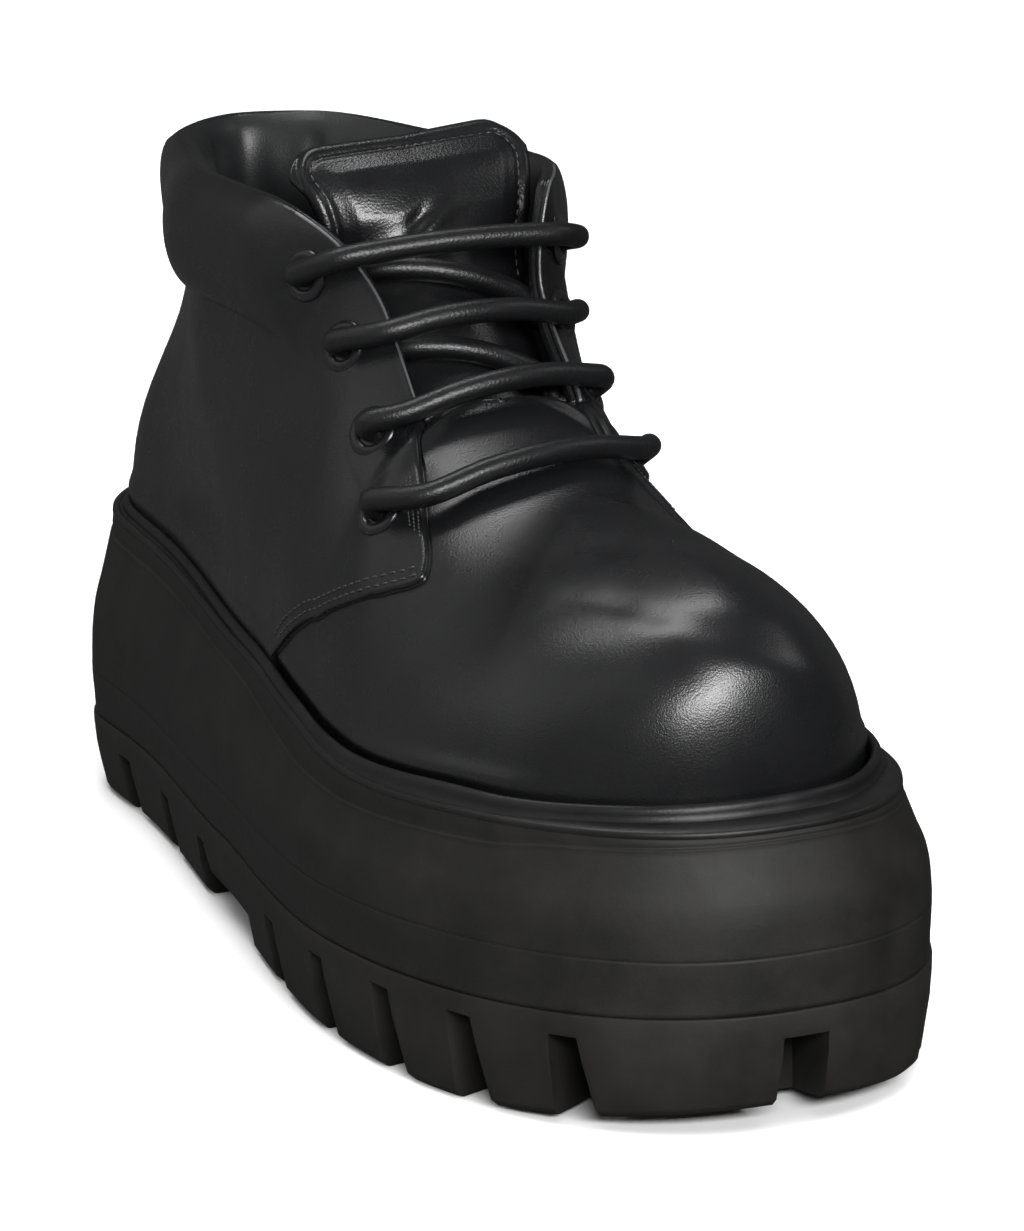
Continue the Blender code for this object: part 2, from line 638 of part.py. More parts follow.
# medial_rise is how much further up the medial edge is.
TONGUE_COLUMNS = ("along", "under", "middle_x", "half_width", "lateral_drop", "medial_drop", "medial_rise")
TONGUE_SECTIONS = np.array((
    (0.046, -0.1080, 0.0000, 0.0120, 0.0018, 0.0020, 0.0000),
    (0.052, -0.1030, 0.0000, 0.0150, 0.0035, 0.0040, 0.0000),
    (0.058, -0.0978, -0.0005, 0.0180, 0.0080, 0.0090, 0.0000),
    (0.066, -0.0960, -0.0015, 0.0232, 0.0155, 0.0155, 0.0000),
    (0.082, -0.0970, -0.0015, 0.0235, 0.0155, 0.0155, 0.0000),
    (0.098, -0.0972, -0.0015, 0.0235, 0.0155, 0.0150, 0.0000),
    (0.108, -0.0974, -0.0010, 0.0235, 0.0140, 0.0115, 0.0000),
    (0.116, -0.0982, 0.0000, 0.0237, 0.0125, 0.0085, 0.0000),
    (0.122, -0.1002, 0.0005, 0.0247, 0.0055, 0.0045, 0.0004),
    (0.129, -0.1014, 0.0006, 0.0264, 0.0030, 0.0030, 0.0012),
    (0.136, -0.1006, -0.0004, 0.0282, 0.0020, 0.0020, 0.0022),
    (0.142, -0.0988, -0.0009, 0.0285, 0.0012, 0.0012, 0.0030),
))
TONGUE_CORNER = 0.0080      # the top corners are rounded off over this length, from
TONGUE_CORNER_FROM = 0.60   # this part of the half width out
TONGUE_THICKNESS = 0.0036
TONGUE_ROWS, TONGUE_ACROSS = 17, 11     # points of its mesh


def tongue(parts, finish):
    first, last = TONGUE_SECTIONS[0, 0], TONGUE_SECTIONS[-1, 0]
    points = []
    for start in np.linspace(first, last, TONGUE_ROWS):
        rounded = TONGUE_CORNER * ease((start - last) / (2 * TONGUE_CORNER) + 1)
        for u in np.linspace(-1, 1, TONGUE_ACROSS):
            corner = np.clip((abs(u) - TONGUE_CORNER_FROM) / (1 - TONGUE_CORNER_FROM), 0, 1)
            along = start - rounded * corner**3
            row = dict(zip(TONGUE_COLUMNS, smooth(TONGUE_SECTIONS[:, 0], TONGUE_SECTIONS, along)[0]))
            drop = row["lateral_drop"] if u < 0 else row["medial_drop"]
            across = np.array((row["middle_x"] + row["half_width"] * u, 0.0, 0.0))
            up = along + row["medial_rise"] * max(u, 0)
            points.append(across + THROAT_ALONG * up + THROAT_UNDER * (row["under"] + drop * u * u))
    faces = []
    for row in range(TONGUE_ROWS - 1):
        for i in range(row * TONGUE_ACROSS, (row + 1) * TONGUE_ACROSS - 1):
            faces.append((i, i + 1, i + 1 + TONGUE_ACROSS, i + TONGUE_ACROSS))
    obj = add_mesh("tongue", points, faces, parts, finish)
    shell = obj.modifiers.new("thickness", "SOLIDIFY")
    shell.thickness = TONGUE_THICKNESS
    shell.offset = -1.0


# ---------------------------------------------------------------- lace
LACE_OUT = 0.0016           # the lace leaves an eyelet straight for this far over the leather
LACE_IN = 0.0044            # and this far under it
LACE_BEND = 0.0028          # radius of its turn there, at its middle
BEND_STEPS = 2
# Where each bar passes over the facings' edges, and where each hidden crossing passes under them on its way from
# one bar to the next. A lift is how far the lace's middle is over the leather, and arch how far it rises over a
# straight line between the facings.
LACE_COLUMNS = (
    "lateral_section", "lateral_height", "lateral_lift", "medial_section", "medial_height", "medial_lift", "arch",
)
BARS = (
    (5.27, 1.00, 0.0060, 5.55, 1.00, 0.0050, 0.0023),
    (6.22, 1.00, 0.0048, 6.28, 1.00, 0.0046, 0.0045),
    (7.30, 0.88, 0.0046, 6.82, 0.97, 0.0050, 0.0058),
    (8.25, 0.65, 0.0044, 8.12, 0.68, 0.0046, 0.0068),
)
CROSSINGS = (
    (5.36, 1.00, -0.0073, 5.98, 1.00, -0.0050, 0.0038),
    (6.23, 1.00, -0.0055, 6.65, 0.98, -0.0053, 0.0046),
    (7.02, 0.98, -0.0060, 7.86, 0.81, -0.0065, 0.0039),
)
LACE_END = 0.0065           # where it starts, under the first medial eyelet
TAIL = ((7.40, 0.66), (6.80, 0.67), (5.90, 0.65), (4.95, 0.67))     # section and height up it
TAIL_LIFT = -0.0057
LACE_ROUNDNESS = 2          # 2 gives 8 sides


def lace_at(side, a, v, lift):
    return Vector(upper_skin(side, np.array([a]), np.array([v]), lift, PAD_OUT)[0])


def eyelet_bend(point, normal, towards, outside):
    """From an eyelet out over the leather, or in under it, and round towards a point."""
    axis = normal if outside else -normal
    start = point + axis * (LACE_OUT if outside else LACE_IN)
    sideways = towards - point
    sideways = (sideways - axis * sideways.dot(axis)).normalized()
    points = []
    for step in range(BEND_STEPS + 1):
        angle = math.pi / 2 * step / BEND_STEPS
        points.append(start + axis * LACE_BEND * math.sin(angle) + sideways * LACE_BEND * (1 - math.cos(angle)))
    return points


def arched(start, end, rise, count):
    """Points from one to the other, arched over the straight line."""
    up = -Vector(THROAT_UNDER)
    steps = [step / (count + 1) for step in range(count + 2)]
    return [start.lerp(end, t) + up * rise * 4 * t * (1 - t) for t in steps]


def lace_route():
    """Each bar goes over the leather from the medial eyelet to the lateral one, then a crossing under it goes on to
    the next medial eyelet. From the last eyelet the tail runs up inside, beside the others."""
    places = {(side, number): (point, normal) for side, _, number, point, normal in eyelet_places()}
    route = []
    for number, (*lateral_edge, medial_a, medial_v, medial_lift, arch) in enumerate(BARS, start=1):
        medial, medial_normal = places[MEDIAL, number]
        lateral, lateral_normal = places[LATERAL, number]
        start = lace_at(MEDIAL, medial_a, medial_v, medial_lift)
        end = lace_at(LATERAL, *lateral_edge)
        if number == 1:
            route.append(medial - medial_normal * LACE_END)
        route += [medial, *eyelet_bend(medial, medial_normal, start, True)]
        route += arched(start, end, arch, 3)
        route += [*eyelet_bend(lateral, lateral_normal, end, True)[::-1], lateral]
        if number < len(BARS):
            following, following_normal = places[MEDIAL, number + 1]
            *lateral_edge, medial_a, medial_v, medial_lift, arch = CROSSINGS[number - 1]
            start = lace_at(LATERAL, *lateral_edge)
            end = lace_at(MEDIAL, medial_a, medial_v, medial_lift)
            route += eyelet_bend(lateral, lateral_normal, start, False)
            route += arched(start, end, arch, 3)
            route += eyelet_bend(following, following_normal, end, False)[::-1]
    tail = [lace_at(LATERAL, a, v, TAIL_LIFT) for a, v in TAIL]
    return route + eyelet_bend(lateral, lateral_normal, tail[0], False) + tail


def lace(parts, finish):
    route = lace_route()
    curve = bpy.data.curves.new("lace", "CURVE")
    curve.dimensions = "3D"
    curve.bevel_depth = LACE_RADIUS
    curve.bevel_resolution = LACE_ROUNDNESS
    curve.use_fill_caps = True
    spline = curve.splines.new("POLY")
    spline.points.add(len(route) - 1)
    for target, point in zip(spline.points, route):
        target.co = (*point, 1.0)
    add_object("lace", curve, parts, finish)


def main():
    clear_scene()
    parts = new_collection("chunky_lace_up_shoe")
    cutters = new_collection("cutters")
    leather = material("black_leather", (0.016, 0.017, 0.019), 0.38)
    rubber = material("black_rubber", (0.021, 0.020, 0.019), 0.62)
    band = material("welt_rubber", (0.018, 0.018, 0.018), 0.5)
    board = material("footbed_leather", (0.02, 0.019, 0.018), 0.7)
    metal = material("black_metal", (0.02, 0.02, 0.021), 0.25, 0.9)
    outsole(parts, cutters, rubber)
    midsole(parts, rubber)
    welt(parts, band)
    insole(parts, board)
    shoe_upper = upper(parts, leather)
    cut(shoe_upper, eyelet_cutter("eyelet_seats", EYELET_SEAT, FLANGE_GAP - TOUCH_GAP, 0.004, cutters))
    cut(shoe_upper, eyelet_cutter("eyelet_holes", EYELET_HOLE, -0.007, 0.001, cutters))
    tongue(parts, leather)
    for side, name, number, point, normal in eyelet_places():
        eyelet(f"eyelet_{name}_{number}", point, normal, parts, metal)
    lace(parts, material("lace_leather", (0.016, 0.016, 0.017), 0.45))


main()
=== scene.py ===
"""Looks of the chunky lace-up shoe, right foot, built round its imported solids.

Metres, +Z up. The toe points to -Y and the medial side to +X. The sole stands on z = 0.
The tables and curve functions repeat the part's own sizes, so each piece keeps its solid's form. Only the
quarter's front edge is drawn smoother, and the bead stands higher along the forefoot.
"""

import math

import bmesh
import bpy
import numpy as np
from mathutils import Matrix, Vector


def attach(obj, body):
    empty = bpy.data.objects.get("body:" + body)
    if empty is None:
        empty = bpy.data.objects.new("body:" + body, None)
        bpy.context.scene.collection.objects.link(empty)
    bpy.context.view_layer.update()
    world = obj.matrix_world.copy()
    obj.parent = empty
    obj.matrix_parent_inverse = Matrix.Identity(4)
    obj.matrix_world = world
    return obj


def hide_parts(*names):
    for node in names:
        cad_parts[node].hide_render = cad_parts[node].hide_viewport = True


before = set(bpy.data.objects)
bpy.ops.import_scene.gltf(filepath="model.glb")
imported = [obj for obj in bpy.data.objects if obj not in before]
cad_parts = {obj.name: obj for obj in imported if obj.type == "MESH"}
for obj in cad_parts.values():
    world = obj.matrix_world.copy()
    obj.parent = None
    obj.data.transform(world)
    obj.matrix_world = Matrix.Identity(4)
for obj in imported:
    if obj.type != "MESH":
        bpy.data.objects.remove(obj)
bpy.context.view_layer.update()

# ---------------- sizes
SOLE_LENGTH = 0.2985
HEEL_CAP = 0.0303  # length over which the heel rounds off
HEEL_POWER = 2.28  # 2 rounds as an ellipse, more is squarer
TOE_CAP = 0.079
TOE_POWER = 2.38
TOUCH_GAP = 0.0003  # what touching pieces keep between them
LATERAL, MEDIAL = SIDES = -1, 1
FINE = 600  # points of the dense outline that the loops are read from
PLATFORM_POINTS, TREAD_POINTS, WELT_POINTS = 170, 130, 200  # heel to toe on each side of a loop

# The sole's sections from heel to toe. along is a part of SOLE_LENGTH.
SOLE_COLUMNS = ("along", "centre_x", "half_width", "rim_z", "step_z", "slot_z", "upper_inset")
SOLE_SECTIONS = np.array((
    (0.00, 0.0000, 0.0412, 0.0682, 0.0185, 0.0130, 0.0115),
    (0.14, 0.0000, 0.0412, 0.0646, 0.0190, 0.0135, 0.0110),
    (0.42, -0.0042, 0.0465, 0.0623, 0.0208, 0.0148, 0.0100),
    (0.55, -0.0042, 0.0522, 0.0610, 0.0218, 0.0155, 0.0098),
    (0.69, -0.0023, 0.0571, 0.0585, 0.0230, 0.0185, 0.0098),
    (0.85, 0.0022, 0.0554, 0.0613, 0.0246, 0.0203, 0.0110),
    (0.93, 0.0051, 0.0542, 0.0624, 0.0253, 0.0205, 0.0150),
    (1.00, 0.0080, 0.0531, 0.0630, 0.0260, 0.0205, 0.0175),
))
TOE_SPRING = 0.005
TOE_SPRING_FROM = 0.80
RIM_INSET = 0.0064
RIM_STEP = 0.0006
BOTTOM_INSET = 0.0042
LUG_INSET = 0.0024  # over the slant
STEP_INSET = 0.0008  # how far the platform stands back over the lugs

# Slots between the lugs, the same on both sides: place along the sole, width at the top, and how much
# further the toe-side wall stands off at the floor. The last one is in the middle of the toe.
SLOTS = (
    (0.0420, 0.0070, 0.0030), (0.0725, 0.0068, 0.0030),
    (0.1685, 0.0068, 0.0035), (0.2013, 0.0066, 0.0040), (0.2293, 0.0064, 0.0045),
    (0.2540, 0.0067, 0.0045), (0.2770, 0.0064, 0.0045),
)
TOE_SLOT = (SOLE_LENGTH, 0.0100, 0.0015)
SLOT_DEPTH = 0.018
HEEL_BREAST = (0.1075, 0.0060, 0.0110)  # as a slot, cut right across
ARCH = (0.104, 0.146)
ARCH_Z = 0.009
LUG_BEVEL = 0.0018  # height of the slant round the lugs' lower edge

WELT_THICKNESS = 0.0020
INSOLE_THICKNESS = 0.0045
INSOLE_DROP = 0.0005  # its top under the upper's foot line

# The upper's sections, heel to toe. Each is a curve up from the foot line to the top edge: the collar,
# then the facing, then the vamp's tab and ridge. foot is a part of the foot line, lean and slope are
# degrees, rise and crown are the curve's handles as parts of its chord, and pad is the share of the
# collar's padding.
UPPER_COLUMNS = (
    "foot", "lat_x", "lat_y", "lat_z", "med_x", "med_y", "med_z", "lean", "rise", "slope", "crown", "pad",
)
UPPER_SECTIONS = np.array((
    (0.000, 0.0000, 0.1325, 0.1530, 0.0000, 0.1325, 0.1530, 5.0, 0.42, 90.0, 0.51, 1.0),  # heel back
    (0.080, -0.0180, 0.1205, 0.1535, 0.0185, 0.1225, 0.1535, 2.0, 0.40, 108.0, 0.52, 1.0),  # heel turn
    (0.180, -0.0275, 0.0930, 0.1555, 0.0290, 0.0955, 0.1545, 0.0, 0.40, 98.0, 0.47, 1.0),  # ankle
    (0.290, -0.0345, 0.0645, 0.1582, 0.0332, 0.0648, 0.1573, 0.0, 0.40, 86.0, 0.42, 1.0),  # collar side
    (0.390, -0.0320, 0.0345, 0.1590, 0.0335, 0.0360, 0.1600, -0.5, 0.38, 83.0, 0.38, 0.8),  # collar front
    (0.455, -0.0244, 0.0120, 0.1524, 0.0230, 0.0075, 0.1618, -0.5, 0.34, 75.0, 0.36, 0.0),  # facing top
    (0.500, -0.0195, -0.0035, 0.1390, 0.0170, 0.0000, 0.1396, -0.5, 0.28, 51.0, 0.34, 0.0),  # facing
    (0.560, -0.0194, -0.0200, 0.1210, 0.0173, -0.0190, 0.1195, -0.5, 0.21, 32.5, 0.31, 0.0),  # tab corner
    (0.660, -0.0005, -0.0215, 0.1240, -0.0005, -0.0215, 0.1240, -1.0, 0.19, 0.0, 0.32, 0.0),  # tab middle
    (0.800, 0.0053, -0.0520, 0.1100, 0.0053, -0.0520, 0.1100, -2.0, 0.33, 0.0, 0.46, 0.0),  # vamp ridge
    (1.000, 0.0089, -0.0845, 0.1075, 0.0089, -0.0845, 0.1075, 0.0, 0.48, 0.0, 0.59, 0.0),  # toe
))
COLLAR_SIDE, TAB_CORNER, TAB_MIDDLE, TOE = 3, 7, 8, 10  # section numbers
LEVEL_TURN = 2  # sections over which the tops turn to face the foot
TAB_ARCH = 0.0015
FOOT_RISE = 0.003  # the foot line's height over the rim
COLLAR_DROP = 0.027  # the padded roll's height
PAD_OUT = 0.0057  # how far the padding swells outwards
PAD_IN = 0.0045  # and inwards
PAD_POWER = 0.6  # under 1 fills out the roll's ends
QUARTER_LIFT = 0.0006  # the quarters' leather stands out over the vamp's
VAMP_LIFT = -0.0006
WALL_INNER = -0.0024  # the lining's face
RIDGE_STEP = 0.01  # step of section number for the ridge's run
SLOPE_STEP = 1e-3  # and of section number and height for a surface's slopes
NORMAL_STEP = 1e-3  # lift between the two surfaces that give a normal

# The quarter's front edge: height up a section against the section it reaches.
QUARTER_EDGE = np.array((
    (0.0, 5.563), (0.076, 5.942), (0.140, 6.254), (0.2155, 6.579), (0.288, 6.873), (0.3335, 7.149),
    (0.352, 7.402), (0.368, 7.642), (0.384, 7.858), (0.403, 8.027), (0.428, 8.129), (0.482, 8.321),
    (0.513, 8.375), (0.543, 8.36), (0.611, 8.23), (0.685, 8.04), (0.804, 7.57), (1.0, 7.00),
))
COLUMN_CROWDING = 1.15  # over 1 brings the columns closer together round the heel


# ---------------- curves
def smooth(xs, ys, x, level_start=False, level_end=False):
    """Monotone cubic through (xs, ys), where ys may have several columns. An end can be made level."""
    xs = np.asarray(xs, float)
    ys = np.asarray(ys, float)
    if ys.ndim > 1:
        columns = [smooth(xs, ys[:, k], x, level_start, level_end) for k in range(ys.shape[1])]
        return np.column_stack(columns)
    step = np.diff(xs)
    rise = np.diff(ys) / step
    slope = np.zeros(len(xs))
    for i in range(1, len(xs) - 1):
        if rise[i - 1] * rise[i] > 0:
            w1 = 2 * step[i] + step[i - 1]
            w2 = step[i] + 2 * step[i - 1]
            slope[i] = (w1 + w2) / (w1 / rise[i - 1] + w2 / rise[i])
    slope[0] = 0 if level_start else rise[0]
    slope[-1] = 0 if level_end else rise[-1]
    x = np.clip(x, xs[0], xs[-1])
    i = np.clip(np.searchsorted(xs, x) - 1, 0, len(xs) - 2)
    t = (x - xs[i]) / step[i]
    return (
        ys[i] * (1 + 2 * t) * (1 - t) ** 2
        + slope[i] * step[i] * t * (1 - t) ** 2
        + ys[i + 1] * t * t * (3 - 2 * t)
        + slope[i + 1] * step[i] * t * t * (t - 1)
    )


def ease(t):
    t = np.clip(t, 0.0, 1.0)
    return t * t * (3 - 2 * t)


def unit(v):
    return v / np.maximum(np.linalg.norm(v, axis=-1, keepdims=True), 1e-12)


# ---------------- sole outline
def sole(column, along):
    """A column of the sole's table at a distance along the sole."""
    k = SOLE_COLUMNS.index(column)
    return smooth(SOLE_SECTIONS[:, 0] * SOLE_LENGTH, SOLE_SECTIONS[:, k], along)


def edge(side):
    """Dense widest outline of one side, heel to toe: place along the sole, points and outward normals."""
    s = SOLE_LENGTH * (1 - np.cos(np.linspace(0, math.pi, FINE))) / 2
    heel = np.clip(1 - s / HEEL_CAP, 0, 1)
    toe = np.clip(1 - (SOLE_LENGTH - s) / TOE_CAP, 0, 1)
    half = sole("half_width", s) * (1 - heel**HEEL_POWER) ** (1 / HEEL_POWER)
    half = half * (1 - toe**TOE_POWER) ** (1 / TOE_POWER)
    points = np.column_stack([sole("centre_x", s) + side * half, SOLE_LENGTH / 2 - s])
    tangent = unit(np.gradient(points, axis=0))
    normal = side * np.column_stack([-tangent[:, 1], tangent[:, 0]])
    normal[0] = (0, 1)
    normal[-1] = (0, -1)
    return s, points, normal


def along_length(points):
    d = np.concatenate([[0], np.cumsum(np.linalg.norm(np.diff(points, axis=0), axis=1))])
    return d / d[-1]


EDGES = {side: edge(side) for side in SIDES}


def half_loop(side, inset, height, count):
    """Points heel to toe at an inset from the widest outline and a height, both functions of the place."""
    s, points, normal = EDGES[side]
    f = np.linspace(0, 1, count)
    d = along_length(points)
    s = np.interp(f, d, s)
    xy = np.column_stack([np.interp(f, d, points[:, k]) for k in range(2)])
    n = unit(np.column_stack([np.interp(f, d, normal[:, k]) for k in range(2)]))
    xy = xy - n * np.reshape(inset(s), (-1, 1))
    return np.column_stack([xy, height(s)])


def loops(rows, count):
    """Closed loops, heel to toe and back, from rows of an inset, a number or a function, and a height."""
    made = []
    for inset, height in rows:
        inset = inset if callable(inset) else even(inset)
        lateral, medial = (half_loop(side, inset, height, count) for side in SIDES)
        made.append(np.concatenate([lateral, medial[-2:0:-1]]))
    return made


def even(value):
    return lambda s: np.full_like(s, value)


def above(curve, rise):
    return lambda s: curve(s) + rise


def between(low, high, share):
    return lambda s: low(s) + share * (high(s) - low(s))


# ---------------- upper surface
def foot_line(side):
    """Dense line where the upper meets the welt: share of its length, points and outward normals."""
    s, points, normal = EDGES[side]
    xy = points - normal * sole("upper_inset", s)[:, None]
    xy[0, 0] = 0.0
    line = np.column_stack([xy, sole("rim_z", s) + FOOT_RISE])
    return along_length(xy), line, normal


FOOT_LINES = {side: foot_line(side) for side in SIDES}
NUMBERS = np.arange(len(UPPER_SECTIONS))


def section(column, a):
    """A column of the upper's table. Both ends are level, so that the two sides meet without a crease."""
    level = column != "foot"
    return smooth(NUMBERS, UPPER_SECTIONS[:, UPPER_COLUMNS.index(column)], a, level, level)


def top_edge(side, a):
    """The top edge at section number a: collar and facing, straight over the tab, then down the ridge."""
    lateral = UPPER_SECTIONS[:, 1:4]
    medial = UPPER_SECTIONS[:, 4:7]
    rows, other = (lateral, medial) if side == LATERAL else (medial, lateral)
    round_heel = np.vstack([other[2:0:-1], rows[:TAB_CORNER + 1]])
    collar = smooth(np.arange(-2, TAB_CORNER + 1), round_heel, np.minimum(a, TAB_CORNER))
    ridge = smooth(NUMBERS[TAB_MIDDLE:], rows[TAB_MIDDLE:], np.maximum(a, TAB_MIDDLE), level_end=True)
    t = np.clip(a - TAB_CORNER, 0, 1)[:, None]
    tab = rows[TAB_CORNER] * (1 - t) + rows[TAB_MIDDLE] * t
    tab[:, 2] += 4 * TAB_ARCH * (t * (1 - t))[:, 0]
    return np.where((a < TAB_CORNER)[:, None], collar, np.where((a < TAB_MIDDLE)[:, None], tab, ridge))


def ridge_run(a):
    """The level direction in which the vamp's ridge runs towards the toe, and how steeply it falls."""
    at = np.clip(a, TAB_MIDDLE + 2 * RIDGE_STEP, TOE - 5 * RIDGE_STEP)
    ahead = top_edge(LATERAL, at + RIDGE_STEP) - top_edge(LATERAL, at - RIDGE_STEP)
    run = np.linalg.norm(ahead[:, :2], axis=1)
    return ahead[:, :2] / run[:, None], -ahead[:, 2] / run


def upper_point(side, a, v):
    """Points of the upper's middle surface, for equal arrays of section number a and height v from 0 to 1."""
    share, line, normal = FOOT_LINES[side]
    foot = section("foot", a)
    low = np.column_stack([np.interp(foot, share, line[:, k]) for k in range(3)])
    out = unit(np.column_stack([np.interp(foot, share, normal[:, k]) for k in range(2)]))
    top = top_edge(side, a)
    chord = np.linalg.norm(top - low, axis=1)[:, None]
    lean = np.radians(section("lean", a))[:, None]
    first = np.column_stack([out * np.sin(lean), np.cos(lean)])
    # At the top a section leaves outwards: by the foot's normal at the collar, towards the foot at the
    # facing, and over the ridge sideways at the tab, turning forwards to the toe.
    to_foot = unit(low[:, :2] - top[:, :2])
    quarter = np.clip((a - COLLAR_SIDE) / LEVEL_TURN, 0, 1)[:, None]
    level = unit(out * (1 - quarter) + to_foot * quarter)
    turn = np.clip((a - TAB_MIDDLE) / (TOE - TAB_MIDDLE), 0, 1) * math.pi / 2
    over = np.column_stack([side * np.cos(turn), -np.sin(turn)])
    vamp = ease(a - TAB_CORNER)
    level = unit(level * (1 - vamp)[:, None] + over * vamp[:, None])
    run, steepness = ridge_run(a)
    fall = np.arctan(steepness * (level * run).sum(axis=1))
    slope = (np.radians(section("slope", a)) * (1 - vamp) + fall * vamp)[:, None]
    last = np.column_stack([level * np.cos(slope), -np.sin(slope)])
    p1 = low + chord * section("rise", a)[:, None] * first
    p2 = top + chord * section("crown", a)[:, None] * last
    t = v[:, None]
    point = (1 - t) ** 3 * low + 3 * (1 - t) ** 2 * t * p1 + 3 * (1 - t) * t * t * p2 + t**3 * top
    half = COLLAR_DROP / 2
    roll = np.clip(1 - ((top[:, 2] - point[:, 2] - half) / half) ** 2, 0, None)
    return point, np.column_stack([out, np.zeros(len(a))]), roll**PAD_POWER * section("pad", a)


def upper_skin(side, a, v, lift, padding):
    """The surface at a distance out from the middle one, with the collar's padding added sideways."""
    point, out, swell = upper_point(side, a, v)
    a0 = np.clip(a - SLOPE_STEP, 0, TOE)
    a1 = np.clip(a + SLOPE_STEP, 0, TOE)
    v0 = np.clip(v - SLOPE_STEP, 0, 1)
    v1 = np.clip(v + SLOPE_STEP, 0, 1)
    da = upper_point(side, a1, v)[0] - upper_point(side, a0, v)[0]
    dv = upper_point(side, a, v1)[0] - upper_point(side, a, v0)[0]
    normal = unit(side * np.cross(dv, da))
    return point + normal * lift + out * (swell * padding)[:, None]


def skin_and_normal(side, a, v, lift, padding):
    """That surface and its outward normals."""
    low = upper_skin(side, a, v, lift, padding)
    return low, unit(upper_skin(side, a, v, lift + NORMAL_STEP, padding) - low)


def upper_at(side, a, v):
    """One point of the quarter's leather and the outward normal there."""
    point, normal = skin_and_normal(side, np.array([float(a)]), np.array([float(v)]), QUARTER_LIFT, PAD_OUT)
    return Vector(point[0]), Vector(normal[0])


# Where the eyelets sit, top pair first: section number and height up it, lateral and then medial.
EYELETS = (
    (4.73, 0.895, 5.18, 0.880), (5.62, 0.840, 5.86, 0.865),
    (6.68, 0.820, 6.70, 0.880), (7.72, 0.575, 7.58, 0.640),
)
LACE_RADIUS = 0.00255
EYELET_BORE = 0.0030
EYELET_BARREL = 0.0036
EYELET_FLANGE = 0.00575


def eyelet_places():
    for side, name in ((LATERAL, "lateral"), (MEDIAL, "medial")):
        for number, row in enumerate(EYELETS, start=1):
            a, v = row[:2] if side == LATERAL else row[2:]
            yield side, name, number, *upper_at(side, a, v)


# ---------------- tongue
# Its rows from the vamp up. along runs up the throat's slope from the origin, and under is square to it,
# inwards. The sides drop back under the facings, with room there for the lace.
TONGUE_SLOPE = math.radians(44)
THROAT_ALONG = np.array((0.0, math.cos(TONGUE_SLOPE), math.sin(TONGUE_SLOPE)))
THROAT_UNDER = np.array((0.0, math.sin(TONGUE_SLOPE), -math.cos(TONGUE_SLOPE)))
# medial_rise is how much further up the medial edge is.
TONGUE_COLUMNS = ("along", "under", "middle_x", "half_width", "lateral_drop", "medial_drop", "medial_rise")
TONGUE_SECTIONS = np.array((
    (0.046, -0.1080, 0.0000, 0.0120, 0.0018, 0.0020, 0.0000),
    (0.052, -0.1030, 0.0000, 0.0150, 0.0035, 0.0040, 0.0000),
    (0.058, -0.0978, -0.0005, 0.0180, 0.0080, 0.0090, 0.0000),
    (0.066, -0.0960, -0.0015, 0.0232, 0.0155, 0.0155, 0.0000),
    (0.082, -0.0970, -0.0015, 0.0235, 0.0155, 0.0155, 0.0000),
    (0.098, -0.0972, -0.0015, 0.0235, 0.0155, 0.0150, 0.0000),
    (0.108, -0.0974, -0.0010, 0.0235, 0.0140, 0.0115, 0.0000),
    (0.116, -0.0982, 0.0000, 0.0237, 0.0125, 0.0085, 0.0000),
    (0.122, -0.1002, 0.0005, 0.0247, 0.0055, 0.0045, 0.0004),
    (0.129, -0.1014, 0.0006, 0.0264, 0.0030, 0.0030, 0.0012),
    (0.136, -0.1006, -0.0004, 0.0282, 0.0020, 0.0020, 0.0022),
    (0.142, -0.0988, -0.0009, 0.0285, 0.0012, 0.0012, 0.0030),
))
TONGUE_CORNER = 0.0080  # the top corners are rounded off over this length, from
TONGUE_CORNER_FROM = 0.60  # this part of the half width out


# ---------------- lace
LACE_OUT = 0.0016  # the lace leaves an eyelet straight for this far over the leather
LACE_IN = 0.0044  # and this far under it
LACE_BEND = 0.0028  # radius of its turn there, at its middle
BEND_STEPS = 2
# Where each bar passes over the facings' edges, and where each hidden crossing passes under them on its
# way from one bar to the next: section number, height and lift on the lateral side, the same on the
# medial side, and the arch. A lift is how far the lace's middle is over the leather, and the arch how far
# it rises over a straight line between the facings.
BARS = (
    (5.27, 1.00, 0.0060, 5.55, 1.00, 0.0050, 0.0023),
    (6.22, 1.00, 0.0048, 6.28, 1.00, 0.0046, 0.0045),
    (7.30, 0.88, 0.0046, 6.82, 0.97, 0.0050, 0.0058),
    (8.25, 0.65, 0.0044, 8.12, 0.68, 0.0046, 0.0068),
)
CROSSINGS = (
    (5.36, 1.00, -0.0073, 5.98, 1.00, -0.0050, 0.0038),
    (6.23, 1.00, -0.0055, 6.65, 0.98, -0.0053, 0.0046),
    (7.02, 0.98, -0.0060, 7.86, 0.81, -0.0065, 0.0039),
)
LACE_END = 0.0065  # where it starts, under the first medial eyelet
TAIL = ((7.40, 0.66), (6.80, 0.67), (5.90, 0.65), (4.95, 0.67))  # section and height up it
TAIL_LIFT = -0.0057
ARCH_POINTS = 3  # between the facings


def lace_at(side, a, v, lift):
    return Vector(upper_skin(side, np.array([a]), np.array([v]), lift, PAD_OUT)[0])


def eyelet_bend(point, normal, towards, outside):
    """From an eyelet out over the leather, or in under it, and round towards a point."""
    axis = normal if outside else -normal
    start = point + axis * (LACE_OUT if outside else LACE_IN)
    sideways = towards - point
    sideways = (sideways - axis * sideways.dot(axis)).normalized()
    points = []
    for step in range(BEND_STEPS + 1):
        angle = math.pi / 2 * step / BEND_STEPS
        over = sideways * LACE_BEND * (1 - math.cos(angle))
        points.append(start + axis * LACE_BEND * math.sin(angle) + over)
    return points


